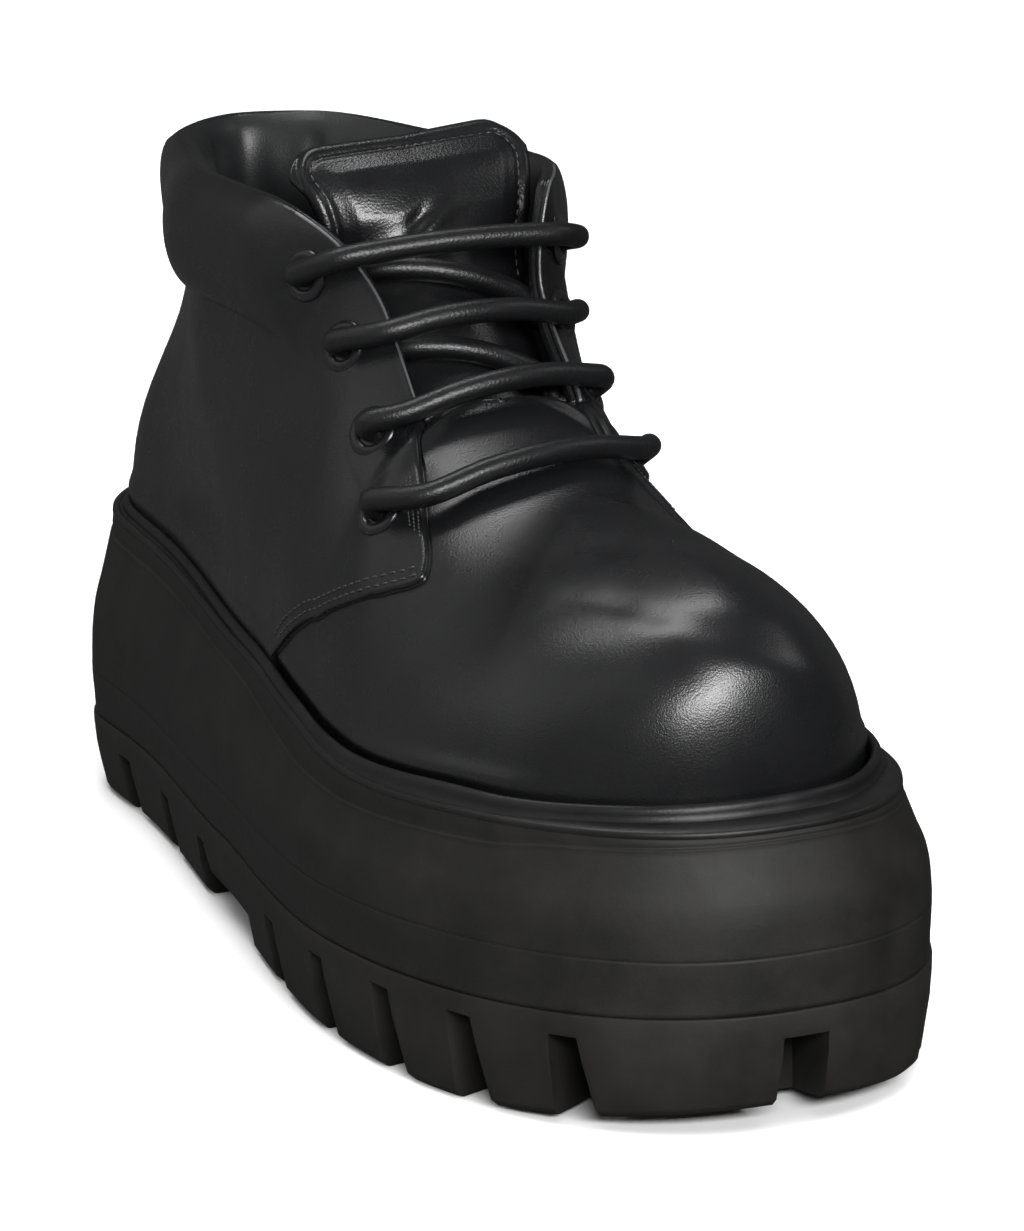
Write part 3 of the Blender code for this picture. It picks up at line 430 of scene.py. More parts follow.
def arched(start, end, rise):
    """Points from one to the other, arched over the straight line."""
    up = -Vector(THROAT_UNDER)
    steps = [step / (ARCH_POINTS + 1) for step in range(ARCH_POINTS + 2)]
    return [start.lerp(end, t) + up * rise * 4 * t * (1 - t) for t in steps]


def lace_route():
    """Each bar goes over the leather from the medial eyelet to the lateral one, then a crossing under it
    goes on to the next medial eyelet. From the last eyelet the tail runs up inside, beside the others."""
    places = {(side, number): (point, normal) for side, _, number, point, normal in eyelet_places()}
    route = []
    for number, (*lateral_edge, medial_a, medial_v, medial_lift, arch) in enumerate(BARS, start=1):
        medial, medial_normal = places[MEDIAL, number]
        lateral, lateral_normal = places[LATERAL, number]
        start = lace_at(MEDIAL, medial_a, medial_v, medial_lift)
        end = lace_at(LATERAL, *lateral_edge)
        if number == 1:
            route.append(medial - medial_normal * LACE_END)
        route += [medial, *eyelet_bend(medial, medial_normal, start, True)]
        route += arched(start, end, arch)
        route += [*eyelet_bend(lateral, lateral_normal, end, True)[::-1], lateral]
        if number < len(BARS):
            following, following_normal = places[MEDIAL, number + 1]
            *lateral_edge, medial_a, medial_v, medial_lift, arch = CROSSINGS[number - 1]
            start = lace_at(LATERAL, *lateral_edge)
            end = lace_at(MEDIAL, medial_a, medial_v, medial_lift)
            route += eyelet_bend(lateral, lateral_normal, start, False)
            route += arched(start, end, arch)
            route += eyelet_bend(following, following_normal, end, False)[::-1]
    tail = [lace_at(LATERAL, a, v, TAIL_LIFT) for a, v in TAIL]
    return route + eyelet_bend(lateral, lateral_normal, tail[0], False) + tail


# ---------------- helpers
NOISE_LOW, NOISE_HIGH = 0.3, 0.7  # most of a noise texture's values lie between these
MOTTLE_LOW = 0.35


def new_material(name, colour, roughness, metallic=0.0, specular=0.5):
    made = bpy.data.materials.new(name)
    made.use_nodes = True
    shader = made.node_tree.nodes["Principled BSDF"]
    shader.inputs["Base Color"].default_value = (*colour, 1.0)
    shader.inputs["Roughness"].default_value = roughness
    shader.inputs["Metallic"].default_value = metallic
    shader.inputs["Specular IOR Level"].default_value = specular
    return made


def node(tree, kind, **values):
    made = tree.nodes.new(kind)
    for key, value in values.items():
        if key in made.inputs:
            made.inputs[key].default_value = value
        else:
            setattr(made, key, value)
    return made


def mapped(tree, source, low, high, start, end, **kind):
    """A value's run from low to high, mapped to the run from start to end."""
    sizes = {"From Min": low, "From Max": high, "To Min": start, "To Max": end}
    made = node(tree, "ShaderNodeMapRange", **sizes, **kind)
    tree.links.new(source, made.inputs["Value"])
    return made.outputs["Result"]


def vary(made, socket, source, low, high):
    """Drives a socket of the shader by a texture between two values."""
    tree = made.node_tree
    result = mapped(tree, source, NOISE_LOW, NOISE_HIGH, low, high)
    tree.links.new(result, tree.nodes["Principled BSDF"].inputs[socket])


def mottle(made, source, dark, light, end=NOISE_HIGH):
    """Colour between two shades by a texture."""
    tree = made.node_tree
    ramp = node(tree, "ShaderNodeValToRGB")
    for stop, position, shade in zip(ramp.color_ramp.elements, (MOTTLE_LOW, end), (dark, light)):
        stop.position = position
        stop.color = (*shade, 1)
    tree.links.new(source, ramp.inputs["Fac"])
    tree.links.new(ramp.outputs["Color"], tree.nodes["Principled BSDF"].inputs["Base Color"])


def texture(made, kind, scale, **values):
    """A texture in the shoe's own metres: its first output, which is a plain value."""
    tree = made.node_tree
    place = tree.nodes.get("place") or node(tree, "ShaderNodeTexCoord", name="place")
    tex = node(tree, kind, Scale=scale, **values)
    tree.links.new(place.outputs["Object"], tex.inputs["Vector"])
    return tex.outputs[0]


def bump(made, *layers):
    """Stacks bumps: each a texture output and a depth in metres."""
    tree = made.node_tree
    before = None
    for source, depth in layers:
        made_bump = node(tree, "ShaderNodeBump", Strength=1.0, Distance=depth)
        tree.links.new(source, made_bump.inputs["Height"])
        if before:
            tree.links.new(before.outputs["Normal"], made_bump.inputs["Normal"])
        before = made_bump
    tree.links.new(before.outputs["Normal"], tree.nodes["Principled BSDF"].inputs["Normal"])


def add_object(name, data):
    obj = bpy.data.objects.new(name, data)
    bpy.context.scene.collection.objects.link(obj)
    return obj


def mesh_object(name, points, faces, *finishes):
    mesh = bpy.data.meshes.new(name)
    mesh.from_pydata(np.asarray(points, float).tolist(), [], faces)
    mesh.validate()
    for finish in finishes:
        mesh.materials.append(finish)
    mesh.shade_smooth()
    return add_object(name, mesh)


def piece(obj, slot, *nodes):
    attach(obj, "root")
    if nodes:
        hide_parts(*nodes)
    return obj


def merge(obj, distance=1e-8):
    bm = bmesh.new()
    bm.from_mesh(obj.data)
    bmesh.ops.remove_doubles(bm, verts=bm.verts, dist=distance)
    bmesh.ops.recalc_face_normals(bm, faces=bm.faces)
    bm.to_mesh(obj.data)
    bm.free()


def grid_faces(rows, columns, offset=0, turned=False, closed=False):
    """Quads of a grid of points stored row by row."""
    faces = []
    for i in range(rows - 1):
        for j in range(columns if closed else columns - 1):
            k = (j + 1) % columns
            quad = (offset + i * columns + j, offset + i * columns + k,
                    offset + (i + 1) * columns + k, offset + (i + 1) * columns + j)
            faces.append(quad[::-1] if turned else quad)
    return faces


# ---------------- materials
NOISE = "ShaderNodeTexNoise"
LEATHER_SPECULAR, LEATHER_SHADES, LEATHER_MOTTLE = 0.38, (0.82, 1.25), 28.0
WEAR, WEAR_ROUGHNESS, WEAR_DEPTH = 95.0, 0.03, 0.00002
FINE_GRAIN, FINE_DEPTH = 0.55, 0.8  # of the pores' size and depth
RUBBER_SPECULAR, RUBBER_SHADES, DUST, DUST_HIGH = 0.28, (0.8, 1.45), 60.0, 0.75
SMOOTHER, ROUGHER = 0.06, 0.08  # how far the dust takes the rubber's roughness down and up
MARKS, MARKS_DEPTH = 420.0, 0.00006
SPECKS, SPECKS_DEPTH = 2600.0, 0.00003
SCUFFS, METAL_ROUGHNESS = 900.0, (0.16, 0.3)
TWIST, TWIST_DEPTH = 5200.0, 0.00005
BURNISH, BURNISH_DEPTH = 1500.0, 0.00008


def shades(colour, parts):
    return [[c * part for c in colour] for part in parts]


def leather_material(name, colour, roughness, grain=0.00045, depth=0.00003):
    made = new_material(name, colour, roughness, specular=LEATHER_SPECULAR)
    shade = texture(made, NOISE, LEATHER_MOTTLE, Detail=3.0)
    mottle(made, shade, *shades(colour, LEATHER_SHADES))
    pores = texture(made, "ShaderNodeTexVoronoi", 1 / grain, feature="SMOOTH_F1", Smoothness=0.35)
    fine = texture(made, NOISE, 1 / (grain * FINE_GRAIN), Detail=3.0)
    wear = texture(made, NOISE, WEAR, Detail=4.0)
    vary(made, "Roughness", wear, roughness - WEAR_ROUGHNESS, roughness + WEAR_ROUGHNESS)
    bump(made, (wear, WEAR_DEPTH), (pores, depth), (fine, depth * FINE_DEPTH))
    return made


def rubber_material(name, colour, roughness):
    made = new_material(name, colour, roughness, specular=RUBBER_SPECULAR)
    dust = texture(made, NOISE, DUST, Detail=6.0, Roughness=0.65)
    mottle(made, dust, *shades(colour, RUBBER_SHADES), DUST_HIGH)
    fine = texture(made, NOISE, SPECKS, Detail=2.0)
    marks = texture(made, NOISE, MARKS, Detail=3.0)
    vary(made, "Roughness", dust, roughness - SMOOTHER, roughness + ROUGHER)
    bump(made, (marks, MARKS_DEPTH), (fine, SPECKS_DEPTH))
    return made


LEATHER = leather_material("leather", (0.0042, 0.0043, 0.0047), 0.28)
TONGUE_LEATHER = leather_material("tongue_leather", (0.0036, 0.0037, 0.0041), 0.29, 0.0006, 0.00004)
LINING = leather_material("lining_leather", (0.0068, 0.0070, 0.0075), 0.42, 0.0005, 0.00003)
# A paler grey for the facings' cut edge: a painted highlight along the outer leather's edge, not the edge's
# own colour.
EDGE_HIGHLIGHT = new_material("cut_edge_painted_highlight", (0.042, 0.043, 0.045), 0.32)
FOOTBED = leather_material("footbed", (0.016, 0.0155, 0.015), 0.6, 0.0006, 0.00003)
CORD = leather_material("cord_leather", (0.0030, 0.0031, 0.0035), 0.38, 0.0006, 0.00005)
THREAD = new_material("thread", (0.018, 0.018, 0.019), 0.45)
PLATFORM = rubber_material("platform_rubber", (0.0054, 0.0050, 0.0046), 0.60)
TREAD = rubber_material("tread_rubber", (0.0070, 0.0063, 0.0057), 0.64)
WELT = rubber_material("welt_band", (0.0045, 0.0045, 0.0046), 0.42)
METAL = new_material("lacquered_metal", (0.010, 0.010, 0.011), 0.2, 0.4)
vary(METAL, "Roughness", texture(METAL, NOISE, SCUFFS, Detail=3.0), *METAL_ROUGHNESS)
bump(THREAD, (texture(THREAD, NOISE, TWIST, Detail=1.0), TWIST_DEPTH))
bump(EDGE_HIGHLIGHT, (texture(EDGE_HIGHLIGHT, NOISE, BURNISH, Detail=3.0), BURNISH_DEPTH))


# ---------------- upper's relief
# Creases and soft forms, in millimetres: their line on the leather, depth (+ stands out), half width.
FOLDS = (
    # under the collar's roll, lateral and medial
    (((-27, 106, 127), (-33, 93, 126), (-37, 78, 127), (-39, 62, 129)), -0.9, 2.6),
    (((-30, 100, 121), (-35, 88, 120), (-38, 74, 121.5), (-40, 62, 124)), 0.5, 3.4),
    (((-36, 92, 112), (-39, 80, 115), (-40, 68, 120)), -0.5, 3.0),
    (((27, 106, 127), (33, 93, 126), (37, 78, 127), (38, 62, 129)), -0.9, 2.6),
    (((29, 100, 121), (35, 88, 120), (38, 74, 121.5), (39, 62, 124)), 0.5, 3.4),
    (((36, 88, 112), (39, 74, 116), (40, 60, 121)), -0.6, 3.2),
    # down the heel's sides
    (((-31, 104, 118), (-33.5, 103, 108), (-36, 101, 96), (-38, 99, 84)), 0.55, 4.5),
    (((-36, 96, 118), (-39, 93, 106), (-41, 90, 92)), -0.45, 4.5),
    (((32, 102, 116), (35, 99, 104), (37, 97, 90)), 0.5, 4.5),
    # along the quarters
    (((-41, 62, 112), (-43, 40, 104), (-44, 18, 98)), -0.35, 8.0),
    (((42, 50, 112), (43, 30, 104), (42, 10, 98)), -0.40, 8.0),
    # across the vamp, behind the toe's stiffener
    (((-20, -86, 98), (-12, -98, 100), (-6, -109, 98.5), (2, -117, 96), (12, -119, 94), (24, -116, 88),
      (34, -108, 76)), -0.85, 3.6),
    (((-16, -90, 99), (-9, -106, 99), (0, -124, 95), (12, -127, 91), (24, -123, 86), (34, -114, 74)),
     0.45, 4.5),
    (((-22, -62, 98), (-10, -74, 104), (6, -82, 105), (22, -80, 101), (35, -70, 92)), -0.40, 7.0),
)
FOLD_SWELL = 1.6  # how soon a fold reaches its depth from its ends


def fold_field(points, folds):
    """Height of all folds at the points, in metres."""
    total = np.zeros(len(points))
    for line, depth, width in folds:
        line = np.array(line, float) / 1000
        width = width / 1000
        nearest = np.full(len(points), np.inf)
        place = np.zeros(len(points))
        span = len(line) - 1
        for k in range(span):
            p, q = line[k], line[k + 1]
            d = q - p
            t = np.clip(((points - p) @ d) / (d @ d), 0, 1)
            distance = np.linalg.norm(points - (p + t[:, None] * d), axis=1)
            closer = distance < nearest
            nearest = np.where(closer, distance, nearest)
            place = np.where(closer, (k + t) / span, place)
        fade = np.clip(np.sin(np.pi * np.clip(place, 0.0, 1.0)) * FOLD_SWELL, 0, 1)
        total += depth / 1000 * fade * np.exp(-(nearest / width) ** 2)
    return total


# ---------------- upper
FINE_ROWS = 100
ROW_CROWDING = 0.045  # brings the rows closer together in the middle
FINE_QUARTER = 96
FINE_VAMP = 72  # a multiple of three, so that a column lies on the tab's middle
# Across the quarter's cut edge, square to it: distance from it and height over the quarter's face, in mm.
EDGE_STEPS = (
    (-1.7, 0.0), (-1.1, 0.02), (-0.75, 0.0), (-0.48, -0.08), (-0.24, -0.24), (-0.08, -0.50), (0.0, -0.85),
)
VAMP_STEPS = ((0.02, -1.42), (0.20, -1.40), (0.42, -1.28))
EDGE_ROOM = 1.3  # the even columns stop this many first steps before the edge
FLAP_RISE = 0.0009  # the facing's free edge stands off the vamp by this
FLAP_WIDTH = 0.011
FLAP_FROM, FLAP_OVER = 0.60, 0.16  # heights between which it comes free
SEAM_STEP = 0.004  # of height, for the seam's run
LEAST_SINE = 0.22  # the seam crosses the sections at no less


def dense_rows():
    t = np.linspace(0, 1, FINE_ROWS + 1)
    return t + ROW_CROWDING * np.sin(2 * np.pi * t) / np.pi


def quarter_front(v):
    return smooth(QUARTER_EDGE[:, 0], QUARTER_EDGE[:, 1], v)


def on_edge(side, v):
    return upper_point(side, quarter_front(v), v)[0]


def per_section(side, a, v):
    """Metres per unit of section number."""
    d = SLOPE_STEP
    return (upper_point(side, a + d, v)[0] - upper_point(side, a - d, v)[0]) / (2 * d)


def seam_metric(v):
    """Metres across the quarter's edge per unit of section number, at each height."""
    v0 = np.clip(v - SEAM_STEP, 0, 1)
    v1 = np.clip(v + SEAM_STEP, 0, 1)
    total = np.zeros(len(v))
    for side in SIDES:
        along = per_section(side, quarter_front(v), v)
        run = on_edge(side, v1) - on_edge(side, v0)
        sine = np.linalg.norm(np.cross(unit(run), unit(along)), axis=1)
        total += np.linalg.norm(along, axis=1) * np.clip(sine, LEAST_SINE, 1) / 2
    return total


def outer_columns():
    """Heights, and the section numbers and lifts of each column of the outer leather."""
    v = dense_rows()
    front = quarter_front(v)
    metric = seam_metric(v)
    flap = FLAP_RISE * ease((v - FLAP_FROM) / FLAP_OVER)
    columns = []
    last = front + EDGE_STEPS[0][0] / 1000 / metric * EDGE_ROOM
    for k in range(FINE_QUARTER + 1):
        a = last * (k / FINE_QUARTER) ** COLUMN_CROWDING
        away = (front - a) * metric
        columns.append((a, QUARTER_LIFT + flap * np.exp(-(away / FLAP_WIDTH) ** 2)))
    for e, height in EDGE_STEPS:
        columns.append((front + e / 1000 / metric, QUARTER_LIFT + flap + height / 1000))
    for e, height in VAMP_STEPS:
        columns.append((front + e / 1000 / metric, QUARTER_LIFT + height / 1000 + np.zeros_like(v)))
    for k in range(1, FINE_VAMP + 1):
        columns.append((front + (TOE - front) * k / FINE_VAMP, VAMP_LIFT + np.zeros_like(v)))
    return v, columns


# How much higher than at the heel the bead stands: part of the sole's length and height.
BEAD_LIFT = np.array((
    (0.0, 0.0), (0.60, 0.0003), (0.653, 0.0010), (0.71, 0.0015), (0.757, 0.0019), (0.80, 0.0021),
    (0.915, 0.0010), (1.0, 0.0013),
))
FOOT_ROLL = 0.0011  # the leather bulges over the bead by this
FOOT_ROLL_AT = 0.0015  # height of its crest over the foot line
FOOT_ROLL_WIDTH = 0.0026
FOOT_ROLL_END, FOOT_ROLL_FADE = 0.84, 0.09  # parts of the sole's length


def by_length(table, s):
    """A table of a part of the sole's length and a size, at places along the sole."""
    return smooth(table[:, 0] * SOLE_LENGTH, table[:, 1], s)


def bead_lift(s):
    return by_length(BEAD_LIFT, s)


def place_of(side, a):
    """Place along the sole of a section's foot."""
    return np.interp(section("foot", a), FOOT_LINES[side][0], EDGES[side][0])


def foot_roll(side, skin, a):
    """Height of the soft roll along the upper's foot."""
    s = place_of(side, a)
    over = skin[:, 2] - skin[0, 2] - FOOT_ROLL_AT - bead_lift(s)
    fade = 1 - ease((s / SOLE_LENGTH - FOOT_ROLL_END) / FOOT_ROLL_FADE)
    return FOOT_ROLL * fade * np.exp(-(over / FOOT_ROLL_WIDTH) ** 2)


def foot_drop(side, skin, a):
    """The same column's point down inside the welt."""
    foot = skin.copy()
    foot[2] = rim_z(place_of(side, np.array([a])))[0] - WELT_THICKNESS
    return foot


NEAR = 1e-6  # of section number
WELD, FINE_WELD = 1e-5, 1e-7  # points closer than this become one


def join_sides(both, columns):
    """Makes the two sides meet: at the heel, at the toe and along the vamp's ridge."""
    for k, (a, _) in enumerate(columns):
        rows = slice(None) if k in (0, len(columns) - 1) else slice(-1, None)
        if rows.start is None or a[-1] > TAB_MIDDLE - NEAR:
            middle = (both[LATERAL][k, rows] + both[MEDIAL][k, rows]) / 2
            for side in SIDES:
                both[side][k, rows] = middle


def wall_face(skin_of):
    """The wall's columns, and each side's points in them, from down in the welt up to the top edge."""
    v, columns = outer_columns()
    both = {}
    for side in SIDES:
        skins = []
        for a, lift in columns:
            skin = skin_of(side, a, v, lift)
            skins.append(np.vstack([foot_drop(side, skin[0], a[0]), skin]))
        both[side] = np.array(skins)
    join_sides(both, columns)
    return columns, both


def add_grid(points, faces, grid, turned):
    """Adds a grid of points and its quads to the lists."""
    faces.extend(grid_faces(grid.shape[0], grid.shape[1], len(points), turned=turned))
    points.extend(grid.reshape(-1, 3))


def outer_skin(side, a, v, lift):
    skin, normal = skin_and_normal(side, a, v, 0.0, PAD_OUT)
    relief = fold_field(skin, FOLDS) + foot_roll(side, skin, a)
    return skin + normal * (lift + relief)[:, None]


# Over the free top edge, from the outer leather to the lining: depth into the wall, of TOP_DEPTH in all, and
# how far it stands up in mm.
TOP_STEPS = (
    (0.10, 0.28), (0.35, 0.48), (0.75, 0.55), (1.10, 0.42), (1.30, 0.05), (1.50, 0.38), (2.0, 0.42),
    (2.5, 0.25),
)
TOP_DEPTH = 3.0
TOP, UNDER_TOP = np.array([1.0]), np.array([0.985])  # heights that give the edge's direction
PAINTED_HIGHLIGHT_STEPS = 2  # steps along the outer leather's cut edge that are painted pale as a highlight. The lining's, behind it, is dyed black like the rest.
FACING_BACK = 0.024  # in front of this the top edge is cut, behind it the leather is folded over


def top_strip(side, columns, skins):
    """The free top edge, over from the outer leather to the lining."""
    strip = []
    for (a, lift), skin in zip(columns, skins):
        if a[-1] > TAB_MIDDLE + NEAR:
            break
        top = upper_skin(side, a[-1:], TOP, lift[-1], PAD_OUT)[0]
        inner = upper_skin(side, a[-1:], TOP, WALL_INNER, -PAD_IN)[0]
        up = unit(top - upper_skin(side, a[-1:], UNDER_TOP, lift[-1], PAD_OUT)[0])
        inwards = unit(inner - top)
        wall = np.linalg.norm(inner - top)
        over = [top + inwards * wall * depth / TOP_DEPTH + up * height / 1000 for depth, height in TOP_STEPS]
        strip.append([skin[-1], *over, inner])
    return np.array(strip)


def upper_leather():
    columns, both = wall_face(outer_skin)
    points, faces, edge_faces = [], [], []
    for side in SIDES:
        turned = side == LATERAL
        add_grid(points, faces, both[side], turned)
        add_grid(points, edge_faces, top_strip(side, columns, both[side]), turned)
    obj = mesh_object("upper_leather", points, faces + edge_faces, LEATHER, EDGE_HIGHLIGHT)
    across = len(TOP_STEPS) + 1
    for k, polygon in enumerate(obj.data.polygons[len(faces):]):
        # The outer steps of the cut edge in front of the folded collar take the painted highlight; the rest
        # keep the black leather.
        polygon.material_index = int(polygon.center.y < FACING_BACK and k % across < PAINTED_HIGHLIGHT_STEPS)
    merge(obj, WELD)
    return piece(obj, "black_leather", "upper")


# Soft tucks of the padded lining round the heel, standing inwards where the depth is over 0.
LINING_FOLDS = (
    (((14, 118, 152), (14, 116, 140), (15, 114, 126)), -1.6, 2.6),
    (((5, 123, 152), (5, 121, 138), (5, 119, 124)), 0.9, 3.6),
    (((-7, 122, 152), (-7, 120, 140), (-8, 118, 126)), -1.2, 2.8),
    (((22, 110, 153), (23, 108, 146), (25, 106, 138)), 0.9, 3.8),
    (((27, 96, 153), (28, 95, 146), (29, 94, 138)), -0.7, 3.2),
    (((-19, 113, 152), (-21, 110, 144), (-23, 108, 134)), -0.8, 3.0),
)


def inner_skin(side, a, v, lift):
    skin, normal = skin_and_normal(side, a, v, WALL_INNER, -PAD_IN)
    return skin - normal * fold_field(skin, LINING_FOLDS)[:, None]


def lining():
    """The inner face of the wall, from the top edge down to the footbed."""
    points, faces = [], []
    for side, grid in wall_face(inner_skin)[1].items():
        add_grid(points, faces, grid, side == MEDIAL)
    obj = mesh_object("lining", points, faces, LINING)
    merge(obj, WELD)
    return piece(obj, "black_leather", "upper")


# ---------------- sole
def rim_z(s):
    return sole("rim_z", s)


def step_z(s):
    return sole("step_z", s)


def spring(s):
    return TOE_SPRING * np.clip((s / SOLE_LENGTH - TOE_SPRING_FROM) / (1 - TOE_SPRING_FROM), 0, 1) ** 2


def lofted(name, made, finish, capped=(True, True)):
    """A skin over closed loops, with caps at the first and the last where they are wanted."""
    count = len(made[0])
    faces = grid_faces(len(made), count, closed=True)
    for start, turned, wanted in ((0, True, capped[0]), ((len(made) - 1) * count, False, capped[1])):
        for i in range(count // 2 if wanted else 0):
            quad = (i, i + 1, (count - i - 1) % count, (count - i) % count)
            quad = tuple(dict.fromkeys(start + k for k in quad))
            if len(quad) > 2:
                faces.append(quad[::-1] if turned else quad)
    return mesh_object(name, np.concatenate(made), faces, finish)


# Height of the scribed line round the platform's wall, and height of the plain band under the rim's edge:
# part of the sole's length and height.
SCRIBED = np.array((
    (0.0, 0.0290), (0.20, 0.0292), (0.45, 0.0320), (0.70, 0.0350), (0.90, 0.0375), (1.0, 0.0380),
))
RIM_BAND = np.array((
    (0.0, 0.0055), (0.40, 0.0056), (0.49, 0.0076), (0.58, 0.0085), (0.65, 0.0068), (0.75, 0.0058),
    (0.86, 0.0053), (0.92, 0.0036), (0.975, 0.0030), (1.0, 0.0026),
))
# The wall between them: share of the way up and inset.
WALL_SHARES = (0.0, 0.25, 0.45, 0.72, 1.0)
WALL_INSETS = (0.0, 0.0003, 0.0010, 0.0031, RIM_INSET - 2 * RIM_STEP)
WALL_ROWS, WALL_FROM = 20, 0.06
WALL_OVER, WALL_UNDER = 0.0007, 0.0009  # what it keeps from the scribed line and from the band
# The ledge over the lugs: part of STEP_INSET, inset beside it and height over the step. Then the wall's
# foot: part of STEP_INSET and share of the way up to the scribed line.
LEDGE = ((0.6, 0.0003, 0.0001), (0.6, 0.0, 0.0003), (0.6, 0.0, 0.0011))
WALL_FOOT = ((0.5, 0.35), (0.15, 0.7))
# Across the scribed line, the band's lower lip and the rim: height and inset.
GROOVE = ((-0.0007, 0.0), (-0.0002, 0.00003), (0.0, 0.00020), (0.0002, 0.00003), (0.0007, 0.0))
LIP = ((-0.0001, -0.00062), (0.00006, -0.00050), (0.00026, -0.00008), (0.0006, 0.0))
RIM_ROLL = ((-0.0014, 0.0001), (-0.0005, 0.0004), (-0.0001, 0.0010))
BAND_SWELL, BAND_SAG = 0.0001, 0.0004  # the band's middle stands out, and lies under halfway up
RIM_TUCK, RIM_SINK = 0.0030, 0.0003  # how far the rim goes in under the welt, and down


def band_z(s):
    """Height of the band's lower edge."""
    return rim_z(s) - by_length(RIM_BAND, s)


def scribed_z(s):
    return by_length(SCRIBED, s)


def wall_z(u):
    return lambda s: scribed_z(s) + WALL_OVER + u * (band_z(s) - WALL_UNDER - scribed_z(s))


def platform():
    """The midsole's wall from the step up to the rim, with its scribed line and the rolled rim."""
    top = RIM_INSET - RIM_STEP
    up = np.linspace(WALL_FROM, 1, WALL_ROWS)
    rows = [(STEP_INSET * part + beside, above(step_z, rise)) for part, beside, rise in LEDGE]
    rows += [(STEP_INSET * part, between(step_z, scribed_z, share)) for part, share in WALL_FOOT]
    rows += [(inset, above(scribed_z, rise)) for rise, inset in GROOVE]
    rows += [(float(smooth(WALL_SHARES, WALL_INSETS, u)), wall_z(u)) for u in up]
    rows += [(top + inset, above(band_z, rise)) for rise, inset in LIP]
    rows += [(top - BAND_SWELL, lambda s: 0.5 * (band_z(s) + rim_z(s)) - BAND_SAG)]
    rows += [(top + inset, above(rim_z, rise)) for rise, inset in RIM_ROLL]
    rows += [(RIM_INSET + RIM_TUCK, above(rim_z, -RIM_SINK))]
    obj = lofted("platform", loops(rows, PLATFORM_POINTS), PLATFORM, (True, False))
    return piece(obj, "black_rubber", "midsole")


def boxes_mesh(name, placed):
    bm = bmesh.new()
    for matrix, size, flare in placed:
        made = bmesh.ops.create_cube(bm, size=1.0, matrix=Matrix.Diagonal((*size, 1.0)))
        for vertex in made["verts"]:
            if vertex.co.z < 0 and vertex.co.y * flare > 0:
                vertex.co.y += flare
        bmesh.ops.transform(bm, matrix=matrix, verts=made["verts"])
    mesh = bpy.data.meshes.new(name)
    bm.to_mesh(mesh)
    bm.free()
    return add_object(name, mesh)


def slot_box(side, slot, top, length, under):
    """A slot's matrix, size and flare, from its outer end inwards and from under the floor up."""
    along, width, flare = slot
    s, points, normal = EDGES[side]
    i = int(np.argmin(np.abs(s - along)))
    out = Vector((*normal[i], 0.0))
    turn = out.to_track_quat("X", "Z").to_matrix().to_4x4()
    centre = Vector((*points[i], (top - under) / 2)) - out * (length / 2 - under)
    return Matrix.Translation(centre) @ turn, (length, width, top + under), -side * flare


def carve(obj, cutter):
    modifier = obj.modifiers.new("carve", "BOOLEAN")
    modifier.operation = "DIFFERENCE"
    modifier.object = cutter
    modifier.solver = "EXACT"
    bake(obj)
    bpy.data.objects.remove(cutter, do_unlink=True)


def bake(obj):
    graph = bpy.context.evaluated_depsgraph_get()
    mesh = bpy.data.meshes.new_from_object(obj.evaluated_get(graph))
    obj.modifiers.clear()
    obj.data = mesh


UNDER_FLOOR = 0.004  # cutters start this far under the floor, and outside the wall
LUG_ROUND = 0.00035  # radius of the lugs' softened edges
ROUND_FROM, SHARP_FROM = 38, 30  # degrees between faces that are softened, and that shade as an edge
# Under the slant and over it: inset beyond its end and height from it.
SLANT_FOOT = ((0.0006, 0.0), (0.0, 0.0002))
SLANT_TOP = ((0.0003, -0.0002), (0.0, 0.0002))
# Up the lugs' wall: inset, part of the step's height and part of the toe spring.
LUG_WALL = ((0.0013, 0.38, 0.6), (0.0005, 0.62, 0.0), (0.0001, 0.85, 0.0))
LUG_TOP = ((0.0, -0.0006), (0.0001, -0.0001), (0.0003, 0.0))  # inset and height over the step


def slot_top(along):
    return float(sole("slot_z", np.array([along]))[0])


def lug_z(of_step, of_spring):
    return lambda s: of_step * step_z(s) + spring(s) * of_spring


